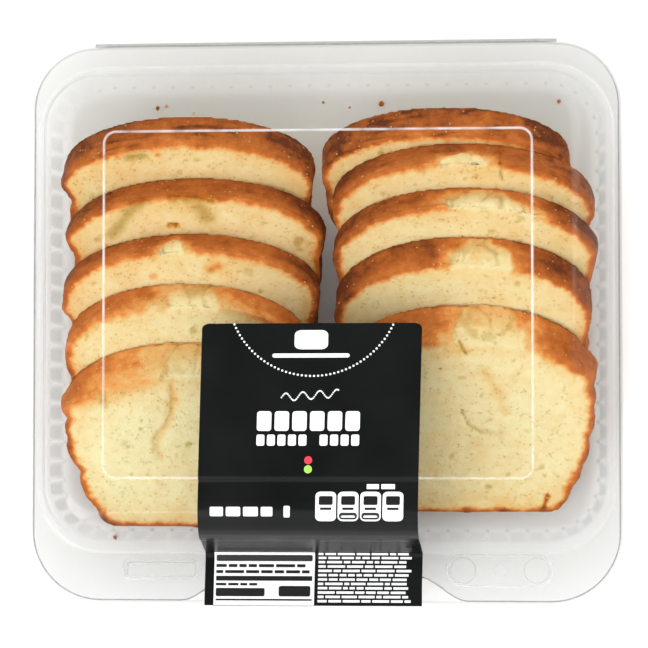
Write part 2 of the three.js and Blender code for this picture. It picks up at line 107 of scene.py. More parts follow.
# ---- how each slice bakes and tears: rows from the hinge to the front ----------------------------
# brown: how dark its dome is; warm: how tanned its crumb is, partly its own tone and partly painted shade,
# more in the rows behind; tear: (middle, half width, reach) of the split in the dome, across the slice and
# as a share of its thickness from the cut face; wrinkle: depth of the long folds in the dome's skin; seed:
# its own noise; creases: marks in the cut face, each (width, depth, tan, shade, places), from the foot's
# middle, shade being painted shade in the mark; bulges: (side, height, amount, width) of the swellings in
# its sides.
SLICE_LOOKS = {
    "slice_left_1": {
        "brown": 0.78, "tan_and_shade": 0.06, "tear": None, "wrinkle": 1.0, "seed": 11,
        "creases": (
            (2.8, 0.7, 0.0, 0.9, ((-22.5, 55.5), (-16.5, 56.5))),
            (1.4, 0.3, 0.40, 0.0, ((-32, 56), (-31.5, 56))),
            (1.6, 0.3, 0.42, 0.0, ((-27.2, 56.4), (-26.6, 56.4))),
            (1.2, 0.3, 0.38, 0.0, ((-10.8, 57), (-10.3, 57))),
        ),
        "bulges": ((-1, 44, 0.8, 3.0), (-1, 36, -1.2, 4.0)),
    },
    "slice_left_2": {
        "brown": 0.78, "tan_and_shade": 0.055, "tear": None, "wrinkle": 0.35, "seed": 12,
        "creases": (
            (4.0, 0.9, 0.0, 0.85, ((-19.5, 66), (-25.8, 59.6), (-32.6, 50.6))),
            (4.0, 1.0, 0.0, 0.9, ((-7, 67), (4, 66))),
            (1.3, 1.4, 0.2, 1.5, ((2.0, 66.4), (8.4, 65))), (5.0, 1.0, 0.0, 0.85, ((3, 62), (6, 57.5))),
            (1.3, 1.6, 0.5, 1.5, ((-9.5, 54.4), (-6.8, 54.2))),
        ),
        "bulges": ((-1, 50, 1.0, 3.5), (-1, 41, -1.4, 3.5)),
    },
    "slice_left_3": {
        "brown": 0.74, "tan_and_shade": 0.045, "tear": (-6.0, 5.5, 0.6), "wrinkle": 0.2, "seed": 13,
        "creases": (
            (3.0, 0.5, 0.30, 0.0, ((8.5, 63), (12.5, 64))), (1.6, 0.3, 0.3, 0.0, ((-14, 60), (-13, 60))),
        ),
        "bulges": ((-1, 45, 1.0, 3.0), (-1, 38, -1.4, 3.5)),
    },
    "slice_left_4": {
        "brown": 0.56, "tan_and_shade": 0.03, "tear": (4.5, 12.5, 1.25), "wrinkle": 0.2, "seed": 14,
        "creases": ((1.2, 0.9, 0.1, 1.2, ((-1, 78), (4, 76.5), (9, 77.5), (17, 77))),), "bulges": (),
    },
    "slice_left_5": {
        "brown": 0.46, "tan_and_shade": 0.0, "tear": (6.0, 17.0, 1.7), "wrinkle": 0.2, "seed": 15,
        "creases": (
            (3.0, 0.7, 0.11, 0.0, ((-6, 74), (-5.4, 58), (-9.1, 48.5), (-13.6, 41.6), (-13.6, 37),
                (-12.5, 33.6))),
            (1.0, 0.4, 0.05, 0.25, ((-6.2, 66), (-6.6, 56), (-10.6, 48), (-15.3, 41), (-15.3, 36))),
            (9.0, 0.4, 0.30, 0.0, ((-43, 62), (-31, 66), (-20, 70), (-13, 74))),
            (1.0, 0.4, 0.03, 0.0, ((-45, 59.5), (3, 59.8))),
            (2.4, 0.6, 0.02, 0.6, ((-34, 63), (-33, 57))),
        ),
        "bulges": (
            (-1, 55.5, 1.8, 2.0), (-1, 50.4, -1.8, 2.2), (-1, 37, 1.5, 4.0), (-1, 27, -2.3, 3.6),
            (-1, 14, 2.0, 4.0),
        ),
    },
    "slice_right_1": {
        "brown": 0.80, "tan_and_shade": 0.06, "tear": None, "wrinkle": 1.0, "seed": 21, "creases": (),
        "bulges": (),
    },
    "slice_right_2": {
        "brown": 0.78, "tan_and_shade": 0.055, "tear": (2.0, 11.0, 0.42), "wrinkle": 0.4, "seed": 22,
        "creases": ((0.9, 0.9, 0.06, 0.8, ((15.3, 72.5), (15.9, 64))),), "bulges": ((1, 47, 0.9, 4.0),),
    },
    "slice_right_3": {
        "brown": 0.80, "tan_and_shade": 0.045, "tear": (9.0, 18.0, 0.95), "wrinkle": 0.3, "seed": 23,
        "creases": ((1.6, 1.2, 0.1, 1.2, ((-1.5, 81.0), (1.5, 79.5), (3.5, 82.0))),),
        "bulges": ((1, 55, 0.8, 4.0),),
    },
    "slice_right_4": {
        "brown": 0.82, "tan_and_shade": 0.04, "tear": (8.0, 13.0, 1.1), "wrinkle": 0.2, "seed": 24,
        "creases": ((1.4, 1.0, 0.1, 0.9, ((-2.5, 83), (3, 81.5), (7, 84))),), "bulges": (),
    },
    "slice_right_5": {
        "brown": 0.64, "tan_and_shade": 0.015, "tear": (9.5, 14.5, 1.7), "wrinkle": 0.2, "seed": 25,
        "creases": (
            (0.9, 0.8, 0.04, 0.7, ((-1, 47), (1.6, 41), (6.3, 37.5))),
            (1.8, 0.5, 0.04, 0.3, ((5, 38), (14, 37))),
            (3.4, 0.5, 0.07, 0.0, ((8, 65), (13, 58), (16, 47))),
            (2.6, 0.3, 0.05, 0.0, ((-12, 72), (6, 75), (20, 79))),
            (1.1, 1.1, 0.05, 1.0, ((0.9, 90), (-1.8, 84), (-1.9, 79), (0.5, 73))),
            (1.1, 1.1, 0.05, 1.0, ((12.3, 90), (10.3, 86), (11.8, 82), (12.6, 77))),
            (1.2, 0.6, 0.6, 0.6, ((31.5, 2.5), (32.2, 8.0))),
        ),
        "bulges": (
            (1, 71, -1.8, 3.0), (1, 63.5, 0.9, 3.0), (1, 56, -1.5, 2.4), (1, 43, 1.2, 4.5),
            (1, 34, -1.0, 3.0),
            (1, 15.5, 1.5, 4.0), (1, 8, 1.0, 3.0),
        ),
    },
}


# ---- shared tools --------------------------------------------------------------------------------
def object_from(bm, name):
    """A mesh object at the origin, its place in its mesh, from a bmesh in millimetres."""
    bmesh.ops.scale(bm, vec=(MM, MM, MM), verts=bm.verts)
    mesh = bpy.data.meshes.new(name)
    bm.to_mesh(mesh)
    bm.free()
    piece = bpy.data.objects.new(name, mesh)
    bpy.context.scene.collection.objects.link(piece)
    return piece


def settle(piece):
    """Applies the piece's modifiers, so that its mesh is final."""
    bpy.context.view_layer.update()
    shown = piece.evaluated_get(bpy.context.evaluated_depsgraph_get())
    mesh = bpy.data.meshes.new_from_object(shown)
    old = piece.data
    piece.modifiers.clear()
    piece.data = mesh
    mesh.name = piece.name
    bpy.data.meshes.remove(old)
    return piece


def smooth(piece, angle_degrees=35.0):
    piece.data.shade_smooth()
    piece.data.set_sharp_from_angle(angle=math.radians(angle_degrees))
    return piece


def thicken(piece, thickness, offset):
    """Gives a single sheet its thickness: offset -1 grows behind its faces, 1 in front of them."""
    wall = piece.modifiers.new("wall", "SOLIDIFY")
    wall.thickness = thickness * MM
    wall.offset = offset
    wall.use_even_offset = False
    return settle(piece)


def cut(piece, tool, operation):
    """Joins or cuts a closed piece with a closed tool, which is used up."""
    step = piece.modifiers.new("cut", "BOOLEAN")
    step.operation = operation
    step.object = tool
    step.solver = "MANIFOLD"
    settle(piece)
    bpy.data.objects.remove(tool)
    return piece


def give(piece, material, body, replaces=()):
    piece.data.materials.clear()
    piece.data.materials.append(material)
    if body:
        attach(piece, body)
    if replaces:
        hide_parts(*replaces)
    return piece


def wave(share, start, end):
    """Smooth step from 0 at start to 1 at end, for numbers and arrays alike."""
    t = np.clip((share - start) / (end - start), 0.0, 1.0)
    return t * t * (3.0 - 2.0 * t)


# ---- formed sheet: rings round a footprint -------------------------------------------------------
def footprint_places(foot, inset, corner_steps, flute=0.0, side_steps=1):
    """Places round a rounded rectangle, anticlockwise from above. `flute` is the depth of upright flutes,
    and with side_steps over 1 every ring has the same number of places, fluted or not."""
    half_x, half_y = foot["half_x"] - inset, foot["half_y"] - inset
    front, back = foot["front"] - inset, foot["back"] - inset
    corners = (
        (half_x - front, foot["centre_y"] - half_y + front, front, -90, FLUTES_SHORT),
        (half_x - back, foot["centre_y"] + half_y - back, back, 0, FLUTES_LONG),
        (back - half_x, foot["centre_y"] + half_y - back, back, 90, FLUTES_SHORT),
        (front - half_x, foot["centre_y"] - half_y + front, front, 180, FLUTES_LONG),
    )
    places = []

    def add(x, y, radius, degrees, share, flutes):
        turn = math.radians(degrees)
        reach = radius - flute * (1 - min(1.0, 1.5 * abs(math.sin(math.pi * flutes * share))))
        places.append((x + reach * math.cos(turn), y + reach * math.sin(turn)))

    for index, (x, y, radius, start, side_flutes) in enumerate(corners):
        next_x, next_y, next_radius = corners[(index + 1) % 4][:3]
        for step in range(corner_steps):
            share = step / corner_steps
            add(x, y, radius, start + 90 * share, share, FLUTES_CORNER)
        turn = math.radians(start + 90)
        run_x = next_x - x + (next_radius - radius) * math.cos(turn)
        run_y = next_y - y + (next_radius - radius) * math.sin(turn)
        count = side_steps * side_flutes if side_steps > 1 else 1
        for step in range(count):
            share = step / count
            add(x + run_x * share, y + run_y * share, radius, start + 90, share, side_flutes)
    return places


def new_sheet():
    """An empty bmesh whose points carry `rim`, painted shade, and a painted highlight, which the clear
    sheet's material reads.
    """
    bm = bmesh.new()
    for name in ("rim", "frost"):
        bm.verts.layers.float.new(name)
    return bm


def lay_ring(bm, ring, places, z, fields):
    """Puts a ring's points at their places, at one height, and sets what they carry: one value for all of
    them, or a function of their place and number."""
    for index, (vert, (x, y)) in enumerate(zip(ring, places)):
        vert.co = (x, y, z)
        for name, value in fields.items():
            vert[bm.verts.layers.float[name]] = value(x, y, index) if callable(value) else value
    return ring


def ring_edges(ring):
    inside = set(ring)
    return [edge for edge in {e for v in ring for e in v.link_edges} if set(edge.verts) <= inside]


def grow_sheet(bm, rings):
    """One sheet through (places, height, fields) rings with equally many points; returns its two rims."""
    first = bmesh.ops.create_circle(bm, cap_ends=False, segments=len(rings[0][0]), radius=1.0)["verts"]
    ring = lay_ring(bm, first, *rings[0])
    for places, z, fields in rings[1:]:
        grown = bmesh.ops.extrude_edge_only(bm, edges=ring_edges(ring))["geom"]
        fresh = {g for g in grown if isinstance(g, bmesh.types.BMVert)}
        partners = [next(e.other_vert(v) for e in v.link_edges if e.other_vert(v) in fresh) for v in ring]
        ring = lay_ring(bm, partners, places, z, fields)
    return first, ring


def cap(bm, ring):
    return bmesh.ops.contextual_create(bm, geom=ring_edges(ring))["faces"]


def places_of(piece):
    co = np.empty(len(piece.data.vertices) * 3)
    piece.data.vertices.foreach_get("co", co)
    return co.reshape(-1, 3) / MM


def mark(piece, **fields):
    """Writes point attributes that the materials read."""
    for name, values in fields.items():
        layer = piece.data.attributes.new(name, "FLOAT", "POINT")
        layer.data.foreach_set("value", np.asarray(values, dtype=np.float32))


def rounded_block(x, half_x, half_y, radius, bottom, top, edge=0.0):
    """An upright block with a rounded outline and, where asked, a rounded top edge."""
    bm = new_sheet()
    foot = {"half_x": half_x, "half_y": half_y, "centre_y": SNAP_Y, "front": radius, "back": radius}
    places = [(px + x, py) for px, py in footprint_places(foot, 0.0, 8)]
    ring, _ = grow_sheet(bm, [(places, bottom, {})])
    grown = bmesh.ops.extrude_face_region(bm, geom=cap(bm, ring))["geom"]
    raised = [g for g in grown if isinstance(g, bmesh.types.BMVert)]
    bmesh.ops.translate(bm, verts=raised, vec=(0, 0, top - bottom))
    bmesh.ops.recalc_face_normals(bm, faces=bm.faces)
    if edge:
        top_edges = [e for e in bm.edges if all(v in raised for v in e.verts)]
        bmesh.ops.bevel(
            bm, geom=top_edges, offset=edge, segments=3, profile=0.5, material=-1, affect="EDGES"
        )
        # Painted shade and a painted highlight along the rounded top edge.
        for vert in bm.verts:
            if top - 0.95 * edge < vert.co.z < top - 0.02 * edge:
                vert[bm.verts.layers.float["rim"]] = 0.3
                vert[bm.verts.layers.float["frost"]] = 0.3
    return object_from(bm, "tool")


# ---- materials -----------------------------------------------------------------------------------
def new_material(name):
    material = bpy.data.materials.new(name)
    material.use_nodes = True
    material.node_tree.nodes.clear()
    return material, material.node_tree.nodes, material.node_tree.links


def new_surface(name):
    """A material with one shader on its surface."""
    material, nodes, links = new_material(name)
    shader = nodes.new("ShaderNodeBsdfPrincipled")
    links.new(shader.outputs[0], nodes.new("ShaderNodeOutputMaterial").inputs["Surface"])
    return material, nodes, links, shader


def object_noise(nodes, links, **values):
    """Noise laid out in the piece's own place."""
    node = add_node(nodes, "ShaderNodeTexNoise", **values)
    links.new(nodes.new("ShaderNodeTexCoord").outputs["Object"], node.inputs["Vector"])
    return node.outputs["Fac"]


def add_node(nodes, kind, **values):
    node = nodes.new(kind)
    for key, value in values.items():
        if hasattr(node, key):
            setattr(node, key, value)
        else:
            node.inputs[key.replace("_", " ")].default_value = value
    return node


def ramp(nodes, stops, interpolation="LINEAR"):
    node = nodes.new("ShaderNodeValToRGB")
    node.color_ramp.interpolation = interpolation
    while len(node.color_ramp.elements) < len(stops):
        node.color_ramp.elements.new(0.5)
    for element, (place, colour) in zip(node.color_ramp.elements, stops):
        element.position = place
        element.color = (*colour, 1.0)
    return node


def grey(value):
    return value, value, value


def math_node(nodes, links, operation, a, b, clamp=False):
    node = nodes.new("ShaderNodeMath")
    node.operation = operation
    node.use_clamp = clamp
    for socket, value in zip(node.inputs, (a, b)):
        if isinstance(value, (int, float)):
            socket.default_value = value
        else:
            links.new(value, socket)
    return node.outputs[0]


def cake_material(looks):
    """Crumb and crust in one: the attribute `bake` says how browned a place is, with some painted shade in
    the crumb of the slices behind; the other attribute darkens hollows, creases and cracks with painted
    shade.
    """
    material, nodes, links = new_material("cake")
    place = nodes.new("ShaderNodeTexCoord").outputs["Object"]
    bake = add_node(nodes, "ShaderNodeAttribute", attribute_name="bake").outputs["Fac"]
    pit = add_node(nodes, "ShaderNodeAttribute", attribute_name="pit").outputs["Fac"]
    shader = nodes.new("ShaderNodeBsdfPrincipled")
    output = nodes.new("ShaderNodeOutputMaterial")
    links.new(shader.outputs[0], output.inputs["Surface"])

    def noise_at(scale, detail, roughness=0.6):
        node = add_node(nodes, "ShaderNodeTexNoise", Scale=scale, Detail=detail, Roughness=roughness)
        links.new(place, node.inputs["Vector"])
        return node.outputs["Fac"]

    def cells_at(scale, edge):
        node = add_node(nodes, "ShaderNodeTexVoronoi", Scale=scale)
        links.new(place, node.inputs["Vector"])
        mask = ramp(nodes, ((0.5 * edge, grey(1)), (edge, grey(0))))
        links.new(node.outputs["Distance"], mask.inputs["Fac"])
        return mask.outputs[0]

    def stepped(value, start, end):
        mask = ramp(nodes, ((start, grey(0)), (end, grey(1))))
        links.new(value, mask.inputs["Fac"])
        return mask.outputs[0]

    def tinted(colour, tint, amount, blend="MULTIPLY"):
        mix = add_node(nodes, "ShaderNodeMix", data_type="RGBA", blend_type=blend)
        links.new(amount, mix.inputs["Factor"])
        links.new(colour, mix.inputs["A"])
        mix.inputs["B"].default_value = (*tint, 1.0)
        return mix.outputs["Result"]

    def times(a, b):
        return math_node(nodes, links, "MULTIPLY", a, b)

    coarse, medium, fine = noise_at(75.0, 3.0), noise_at(300.0, 4.0), noise_at(1600.0, 3.0, 0.7)
    crusty = stepped(bake, 0.22, 0.4)
    soft = math_node(nodes, links, "SUBTRACT", 1.0, crusty)
    # Browning wanders at every scale, most in the crust and a little in the crumb.
    wander = math_node(nodes, links, "ADD", coarse, math_node(nodes, links, "ADD", medium, fine))
    wander = math_node(nodes, links, "SUBTRACT", wander, 1.5)
    spread = math_node(nodes, links, "ADD", times(crusty, 0.20), 0.10)
    browned = math_node(nodes, links, "ADD", bake, times(wander, spread), clamp=True)
    crust = ramp(nodes, (
        (0.0, looks.crumb), (0.17, looks.tan), (0.40, looks.golden), (0.56, looks.amber),
        (0.78, looks.brown), (1.0, looks.dark),
    ))
    links.new(browned, crust.inputs["Fac"])
    # Crumb: fine pores in clusters. Crust: a few pale flakes and dark grains.
    pores = times(times(cells_at(750.0, 0.38), stepped(medium, 0.47, 0.60)), soft)
    flakes = times(times(cells_at(330.0, 0.17), stepped(coarse, 0.43, 0.53)), crusty)
    grains = times(times(cells_at(520.0, 0.18), stepped(coarse, 0.52, 0.66)), crusty)
    colour = tinted(crust.outputs["Color"], looks.pore, times(pores, 0.5))
    # Painted shade: hollows, creases and cracks are darkened towards the hollow tint.
    colour = tinted(colour, looks.pit_shade_tint, pit)
    colour = tinted(colour, looks.dark, times(grains, 0.4), "MIX")
    colour = tinted(colour, looks.tan, times(flakes, 0.75), "MIX")
    links.new(colour, shader.inputs["Base Color"])
    gloss = ramp(nodes, ((0.0, grey(0.9)), (0.35, grey(0.75)), (0.9, grey(0.55))))
    links.new(browned, gloss.inputs["Fac"])
    links.new(gloss.outputs["Color"], shader.inputs["Roughness"])
    shader.inputs["Subsurface Weight"].default_value = 0.15
    shader.inputs["Subsurface Radius"].default_value = (1.0, 0.6, 0.25)
    shader.inputs["Subsurface Scale"].default_value = 0.0018
    shader.inputs["Specular IOR Level"].default_value = 0.05
    # Relief: pores and grain in the crumb, fine leather and flakes on the crust.
    relief = math_node(nodes, links, "ADD", times(fine, 0.5), medium)
    relief = math_node(nodes, links, "SUBTRACT", relief, times(pores, 0.6))
    relief = math_node(nodes, links, "ADD", relief, times(flakes, 0.5))
    bump = add_node(nodes, "ShaderNodeBump", Strength=0.7, Distance=0.0007)
    links.new(relief, bump.inputs["Height"])
    links.new(bump.outputs["Normal"], shader.inputs["Normal"])
    return material


def clear_material(looks):
    """Clear formed sheet: see-through with a faint grey, glossy, and greyer where it is seen edge on.

    The attribute `rim` greys cut edges, tight folds and the flutes' faces: painted shade for the grey that
    refraction gives them. The other attribute mixes in a flat diffuse white: a painted highlight on ridges
    that catch the light."""
    material, nodes, links = new_material("clear_sheet")
    output = nodes.new("ShaderNodeOutputMaterial")
    facing = add_node(nodes, "ShaderNodeLayerWeight", Blend=0.5).outputs["Facing"]
    tint = ramp(nodes, ((0.0, looks.clear), (0.6, looks.clear), (0.95, looks.edge)))
    links.new(facing, tint.inputs["Fac"])
    # Painted shade: `rim` pulls the see-through tint towards the grey of the cut-edge colour.
    rim = add_node(nodes, "ShaderNodeAttribute", attribute_name="rim").outputs["Fac"]
    darker = add_node(nodes, "ShaderNodeMix", data_type="RGBA", blend_type="MULTIPLY")
    links.new(rim, darker.inputs["Factor"])
    links.new(tint.outputs["Color"], darker.inputs["A"])
    darker.inputs["B"].default_value = (*looks.rim, 1.0)
    through = nodes.new("ShaderNodeBsdfTransparent")
    links.new(darker.outputs["Result"], through.inputs["Color"])
    shine = add_node(nodes, "ShaderNodeBsdfGlossy", Roughness=0.08)
    mirror = ramp(nodes, (
        (0.0, grey(0.014)), (0.5, grey(0.016)), (0.8, grey(0.035)), (1.0, grey(0.14)),
    ))
    links.new(facing, mirror.inputs["Fac"])
    mix = nodes.new("ShaderNodeMixShader")
    links.new(mirror.outputs["Color"], mix.inputs[0])
    links.new(through.outputs[0], mix.inputs[1])
    links.new(shine.outputs[0], mix.inputs[2])
    # Painted highlight: a flat white, broken into patches, mixed in where the points carry it.
    frost = add_node(nodes, "ShaderNodeAttribute", attribute_name="frost").outputs["Fac"]
    place = nodes.new("ShaderNodeTexCoord").outputs["Object"]
    patchy = add_node(nodes, "ShaderNodeTexNoise", Scale=120.0, Detail=2.0)
    links.new(place, patchy.inputs["Vector"])
    broken = ramp(nodes, ((0.3, grey(0.4)), (0.62, grey(1))))
    links.new(patchy.outputs["Fac"], broken.inputs["Fac"])
    glint_amount = math_node(nodes, links, "MULTIPLY", frost, broken.outputs["Color"])
    white = add_node(nodes, "ShaderNodeBsdfDiffuse", Color=(0.95, 0.95, 0.95, 1.0))
    frosted = nodes.new("ShaderNodeMixShader")
    links.new(glint_amount, frosted.inputs[0])
    links.new(mix.outputs[0], frosted.inputs[1])
    links.new(white.outputs[0], frosted.inputs[2])
    links.new(frosted.outputs[0], output.inputs["Surface"])
    return material


def film_material(looks):
    """Satin black film with a faint unevenness in its gloss."""
    material, nodes, links, shader = new_surface("label_film")
    cloud = object_noise(nodes, links, Scale=35.0, Detail=3.0)
    colour = ramp(nodes, ((0.3, looks.film), (0.8, tuple(1.5 * c for c in looks.film))))
    links.new(cloud, colour.inputs["Fac"])
    links.new(colour.outputs["Color"], shader.inputs["Base Color"])
    gloss = ramp(nodes, ((0.25, grey(0.26)), (0.75, grey(0.36))))
    links.new(cloud, gloss.inputs["Fac"])
    links.new(gloss.outputs["Color"], shader.inputs["Roughness"])
    shader.inputs["Specular IOR Level"].default_value = 0.2
    bump = add_node(nodes, "ShaderNodeBump", Strength=0.08, Distance=0.001)
    links.new(cloud, bump.inputs["Height"])
    links.new(bump.outputs["Normal"], shader.inputs["Normal"])
    return material


def ink_material(name, colour):
    """Printing ink: one colour with the slightest mottle of a print screen."""
    material, nodes, links, shader = new_surface(name)
    screen = object_noise(nodes, links, Scale=900.0, Detail=2.0)
    shade = ramp(nodes, ((0.3, tuple(0.9 * c for c in colour)), (0.7, colour)))
    links.new(screen, shade.inputs["Fac"])
    links.new(shade.outputs["Color"], shader.inputs["Base Color"])
    shader.inputs["Roughness"].default_value = 0.4
    return material


def floor_material(looks):
    material, nodes, links, shader = new_surface("white_table")
    cloud = object_noise(nodes, links, Scale=3.0, Detail=2.0)
    shade = ramp(nodes, ((0.0, tuple(0.99 * c for c in looks.floor)), (1.0, looks.floor)))
    links.new(cloud, shade.inputs["Fac"])
    links.new(shade.outputs["Color"], shader.inputs["Base Color"])
    shader.inputs["Roughness"].default_value = 0.9
    shader.inputs["Emission Color"].default_value = (1.0, 1.0, 1.0, 1.0)
    shader.inputs["Emission Strength"].default_value = 0.06
    return material


# ---- tray ----------------------------------------------------------------------------------------
def tray_inset(z):
    return TRAY_DRAFT * (FLANGE_TOP - z) / FLANGE_TOP


def tray_sheet(sizes):
    bm = new_sheet()
    flute_steps = 8

    def ring(foot, inset, z, flute=0.0, rim=0.0, frost=0.0):
        places = footprint_places(foot, inset, FLUTES_CORNER * flute_steps, flute, flute_steps)
        return places, z, {"rim": rim, "frost": frost}

    rings = []
    floor_inset = tray_inset(FLOOR_FILLET)
    rings.append(ring(TRAY_MOUTH, floor_inset + FLOOR_FILLET + 8, 0.0))
    for degrees in (90, 67, 45, 22, 0):
        angle = math.radians(degrees)
        reach = FLOOR_FILLET * (1 - math.cos(angle))
        height = FLOOR_FILLET * (1 - math.sin(angle))
        rings.append(ring(TRAY_MOUTH, floor_inset + reach, height))
    depth = sizes.flute_depth / MM

    def towards_front(y):
        return 1.0 - 0.8 * float(wave(y, 55.0, 90.0))

    def pane(x, y, index):
        """Painted shade: the flutes' faces are greyed, most of all where the pack's sides and front corners
        turn away, standing in for the grey that refraction gives them.
        """
        swell = min(1.0, 1.5 * abs(math.sin(math.pi * index / flute_steps)))
        turned = 0.45 + 0.55 * float(wave(abs(x), 92.0, 108.0))
        return 0.20 * swell * turned * towards_front(y)

    def glint(x, y, index):
        # Painted highlight: a patchy white glint, fainter towards the back.
        return 0.22 * towards_front(y) * (0.5 + 0.5 * noise.noise(Vector((x, y, 0)) * 0.12))

    for z, share in ((5.0, 0.3), (6.5, 0.85), (7.5, 1.0), (8.5, 1.0), (15.0, 1.0), (21.5, 1.0), (22.5, 1.0),
                     (24.2, 0.7), (25.6, 0.0)):
        # Painted shade on the flutes' middle rings, painted highlights on two rings.
        grey = pane if 8.0 < z < 22.0 else 0.0
        light = glint if z in (6.5, 24.2) else 0.0
        rings.append(ring(TRAY_MOUTH, tray_inset(z), z, depth * share, grey, light))
    underside = FLANGE_TOP - SOLID_SHEET
    for inset, z in ((0.0, underside - 0.5), (-0.2, underside - 0.15), (-0.7, underside)):
        rings.append(ring(TRAY_MOUTH, inset, z))
    # The lip's rim values are painted shade along the tray's cut edge.
    lip = (
        (1.9, underside, 0.0), (1.7, underside, 0.1), (1.35, underside - 0.2, 0.15),
        (1.15, underside - 0.6, 0.15), (1.1, 26.2, 0.15),
    )
    for inset, z, rim in lip:
        rings.append(ring(FLANGE, inset, z, rim=rim))
    floor, _ = grow_sheet(bm, rings)
    cap(bm, floor)
    bmesh.ops.recalc_face_normals(bm, faces=bm.faces)
    return object_from(bm, "tray_shell")


def snap_plugs(piece):
    """Raises the plugs that the lid's sockets press over, open from below."""
    underside, top = FLANGE_TOP - SOLID_SHEET, FLANGE_TOP + 1.5
    plugs = [(BAR_X, 14.0, 3.0, 1.5)]
    plugs += [(OVAL_X + side * PLUG_SPREAD, 5.3, 5.3, 5.25) for side in (-1, 1)]
    for x, half_x, half_y, radius in plugs:
        cut(piece, rounded_block(x, half_x, half_y, radius, underside + 0.2, top, 0.6), "UNION")
        cut(piece, rounded_block(x, half_x - 0.6, half_y - 0.6, radius - 0.6, underside - 1, top - 0.6),
            "DIFFERENCE")
    return piece


class CAKEPACK_OT_tray(bpy.types.Operator):
    """Form the clear tray: fluted walls, rounded floor and a flange with a turned-down lip"""
    bl_idname = "cakepack.tray"
    bl_label = "Form Tray"

    def execute(self, context):
        sizes, looks = context.scene.cakepack_sizes, context.scene.cakepack_looks
        piece = tray_sheet(sizes)
        thicken(piece, sizes.sheet / MM, 1.0)
        snap_plugs(piece)
        smooth(piece)
        give(piece, clear_material(looks), "tray", ["tray"])
        return {"FINISHED"}


# ---- lid -----------------------------------------------------------------------------------------
SHELF_Z = LID_TOP - PANEL_RISE
SHOULDER_Z = SHELF_Z - SHOULDER_RADIUS
DOME_FOOT = LID_UNDER + SOLID_SHEET


def dome_section(off=0.0):
    """(footprint, inset, height, painted highlight) from the dome's foot to the panel, moved off its face by
    `off`.
    """
    # The last number is a painted highlight: faint at the dome's foot, strongest on the panel's ridge.
    section = [
        (DOME, -1.6 - off * 0.4, DOME_FOOT + off, 0.0),
        (DOME, -0.7 - off, DOME_FOOT + 0.3 + off * 0.6, 0.14),
        (DOME, -0.15 - off, DOME_FOOT + 1.2, 0.06),
    ]
    for step in range(9):
        angle = math.radians(90 * step / 8)
        reach = SHOULDER_RADIUS + off
        inset = DOME_DRAFT + SHOULDER_RADIUS - reach * math.cos(angle)
        section.append((DOME, inset, SHOULDER_Z + reach * math.sin(angle), 0.0))
    lean = off * math.tan(math.pi / 8)
    ridge = ((-0.5, 0.0, 0.0), (-0.1, 0.12, 0.0), (0.25, 0.45, 0.4), (0.6, 0.95, 0.62), (0.95, 1.15, 0.05),
             (1.4, PANEL_RISE, 0.0))
    for inset, z, frost in ridge:
        section.append((PANEL, inset - lean, SHELF_Z + z + off, frost))
    return section


def notched(places):
    """Draws the front of the lid's edge back, to make its thumb notch, and its back out to the hinge."""
    cut_places = []
    for x, y in places:
        if y < -FLANGE["half_y"] + 15:
            y += NOTCH["depth"] * float(1 - wave(abs(x), NOTCH["half_top"], NOTCH["half_base"]))
        elif y > FLANGE["half_y"] - 3:
            y += 1.1 * float(1 - wave(abs(x), HINGE_FADE_START, HINGE_HALF_LENGTH))
        cut_places.append((x, y))
    return cut_places


def snap_sockets(piece):
    """Raises the lid's bar and oval sockets, and presses a pan with a knob into the oval one."""
    under, top = LID_UNDER, DOME_FOOT + 2.6
    for x, half_x, half_y, radius in ((BAR_X, 15.2, 4.2, 2.6), (OVAL_X, 21.2, 6.6, 6.55)):
        cut(piece, rounded_block(x, half_x, half_y, radius, under + 0.2, top, 0.8), "UNION")
        cut(piece, rounded_block(x, half_x - 0.6, half_y - 0.6, radius - 0.6, under - 1, top - 0.6),
            "DIFFERENCE")
    floor = top - 1.2
    cut(piece, rounded_block(OVAL_X, 10.0, 4.2, 1.0, floor - 0.6, top - 0.1), "UNION")
    cut(piece, rounded_block(OVAL_X, 9.4, 3.6, 0.8, floor, top + 1), "DIFFERENCE")
    cut(piece, rounded_block(OVAL_X, 2.4, 2.4, 2.35, floor - 0.3, floor + 0.9, 0.4), "UNION")
    return piece


def fading(value, loss, side, start, end):
    """What a ring's points carry: a value that fades towards the back (side 1) or the front (side -1)."""
    return lambda x, y, index: value * (1.0 - loss * float(wave(side * y, start, end)))


class CAKEPACK_OT_lid(bpy.types.Operator):
    """Form the clear domed lid: raised panel, soft shoulders, flange with sockets and a thumb notch"""
    bl_idname = "cakepack.lid"
    bl_label = "Form Lid"

    def execute(self, context):
        sizes, looks = context.scene.cakepack_sizes, context.scene.cakepack_looks
        bm = new_sheet()
        corner_steps, side_steps = 20, 3
        rings = []
        # The last number is painted shade along the lid's cut edge, fading towards the back.
        lid_edge = (
            (0.0, -0.45, 0.5), (0.1, -0.15, 0.5), (0.35, 0.0, 0.35), (0.6, 0.0, 0.0), (0.9, 0.0, 0.0),
        )
        for inset, z, rim in lid_edge:
            places = footprint_places(FLANGE, LID_FLANGE_INSET + inset, corner_steps, side_steps=side_steps)
            rings.append((notched(places), DOME_FOOT + z, {"rim": fading(rim, 0.8, 1, 85.0, 110.0)}))
        # Painted highlight on the dome's rings, weaker towards the front.
        for foot, inset, z, frost in dome_section():
            places = footprint_places(foot, inset, corner_steps, side_steps=side_steps)
            rings.append((places, z, {"rim": 0.0, "frost": fading(frost, 0.5, -1, -10.0, 50.0)}))
        _, top = grow_sheet(bm, rings)
        cap(bm, top)
        bmesh.ops.recalc_face_normals(bm, faces=bm.faces)
        piece = object_from(bm, "lid_shell")
        thicken(piece, sizes.sheet / MM, -1.0)
        snap_sockets(piece)
        smooth(piece)
        give(piece, clear_material(looks), "lid", ["lid"])
        return {"FINISHED"}


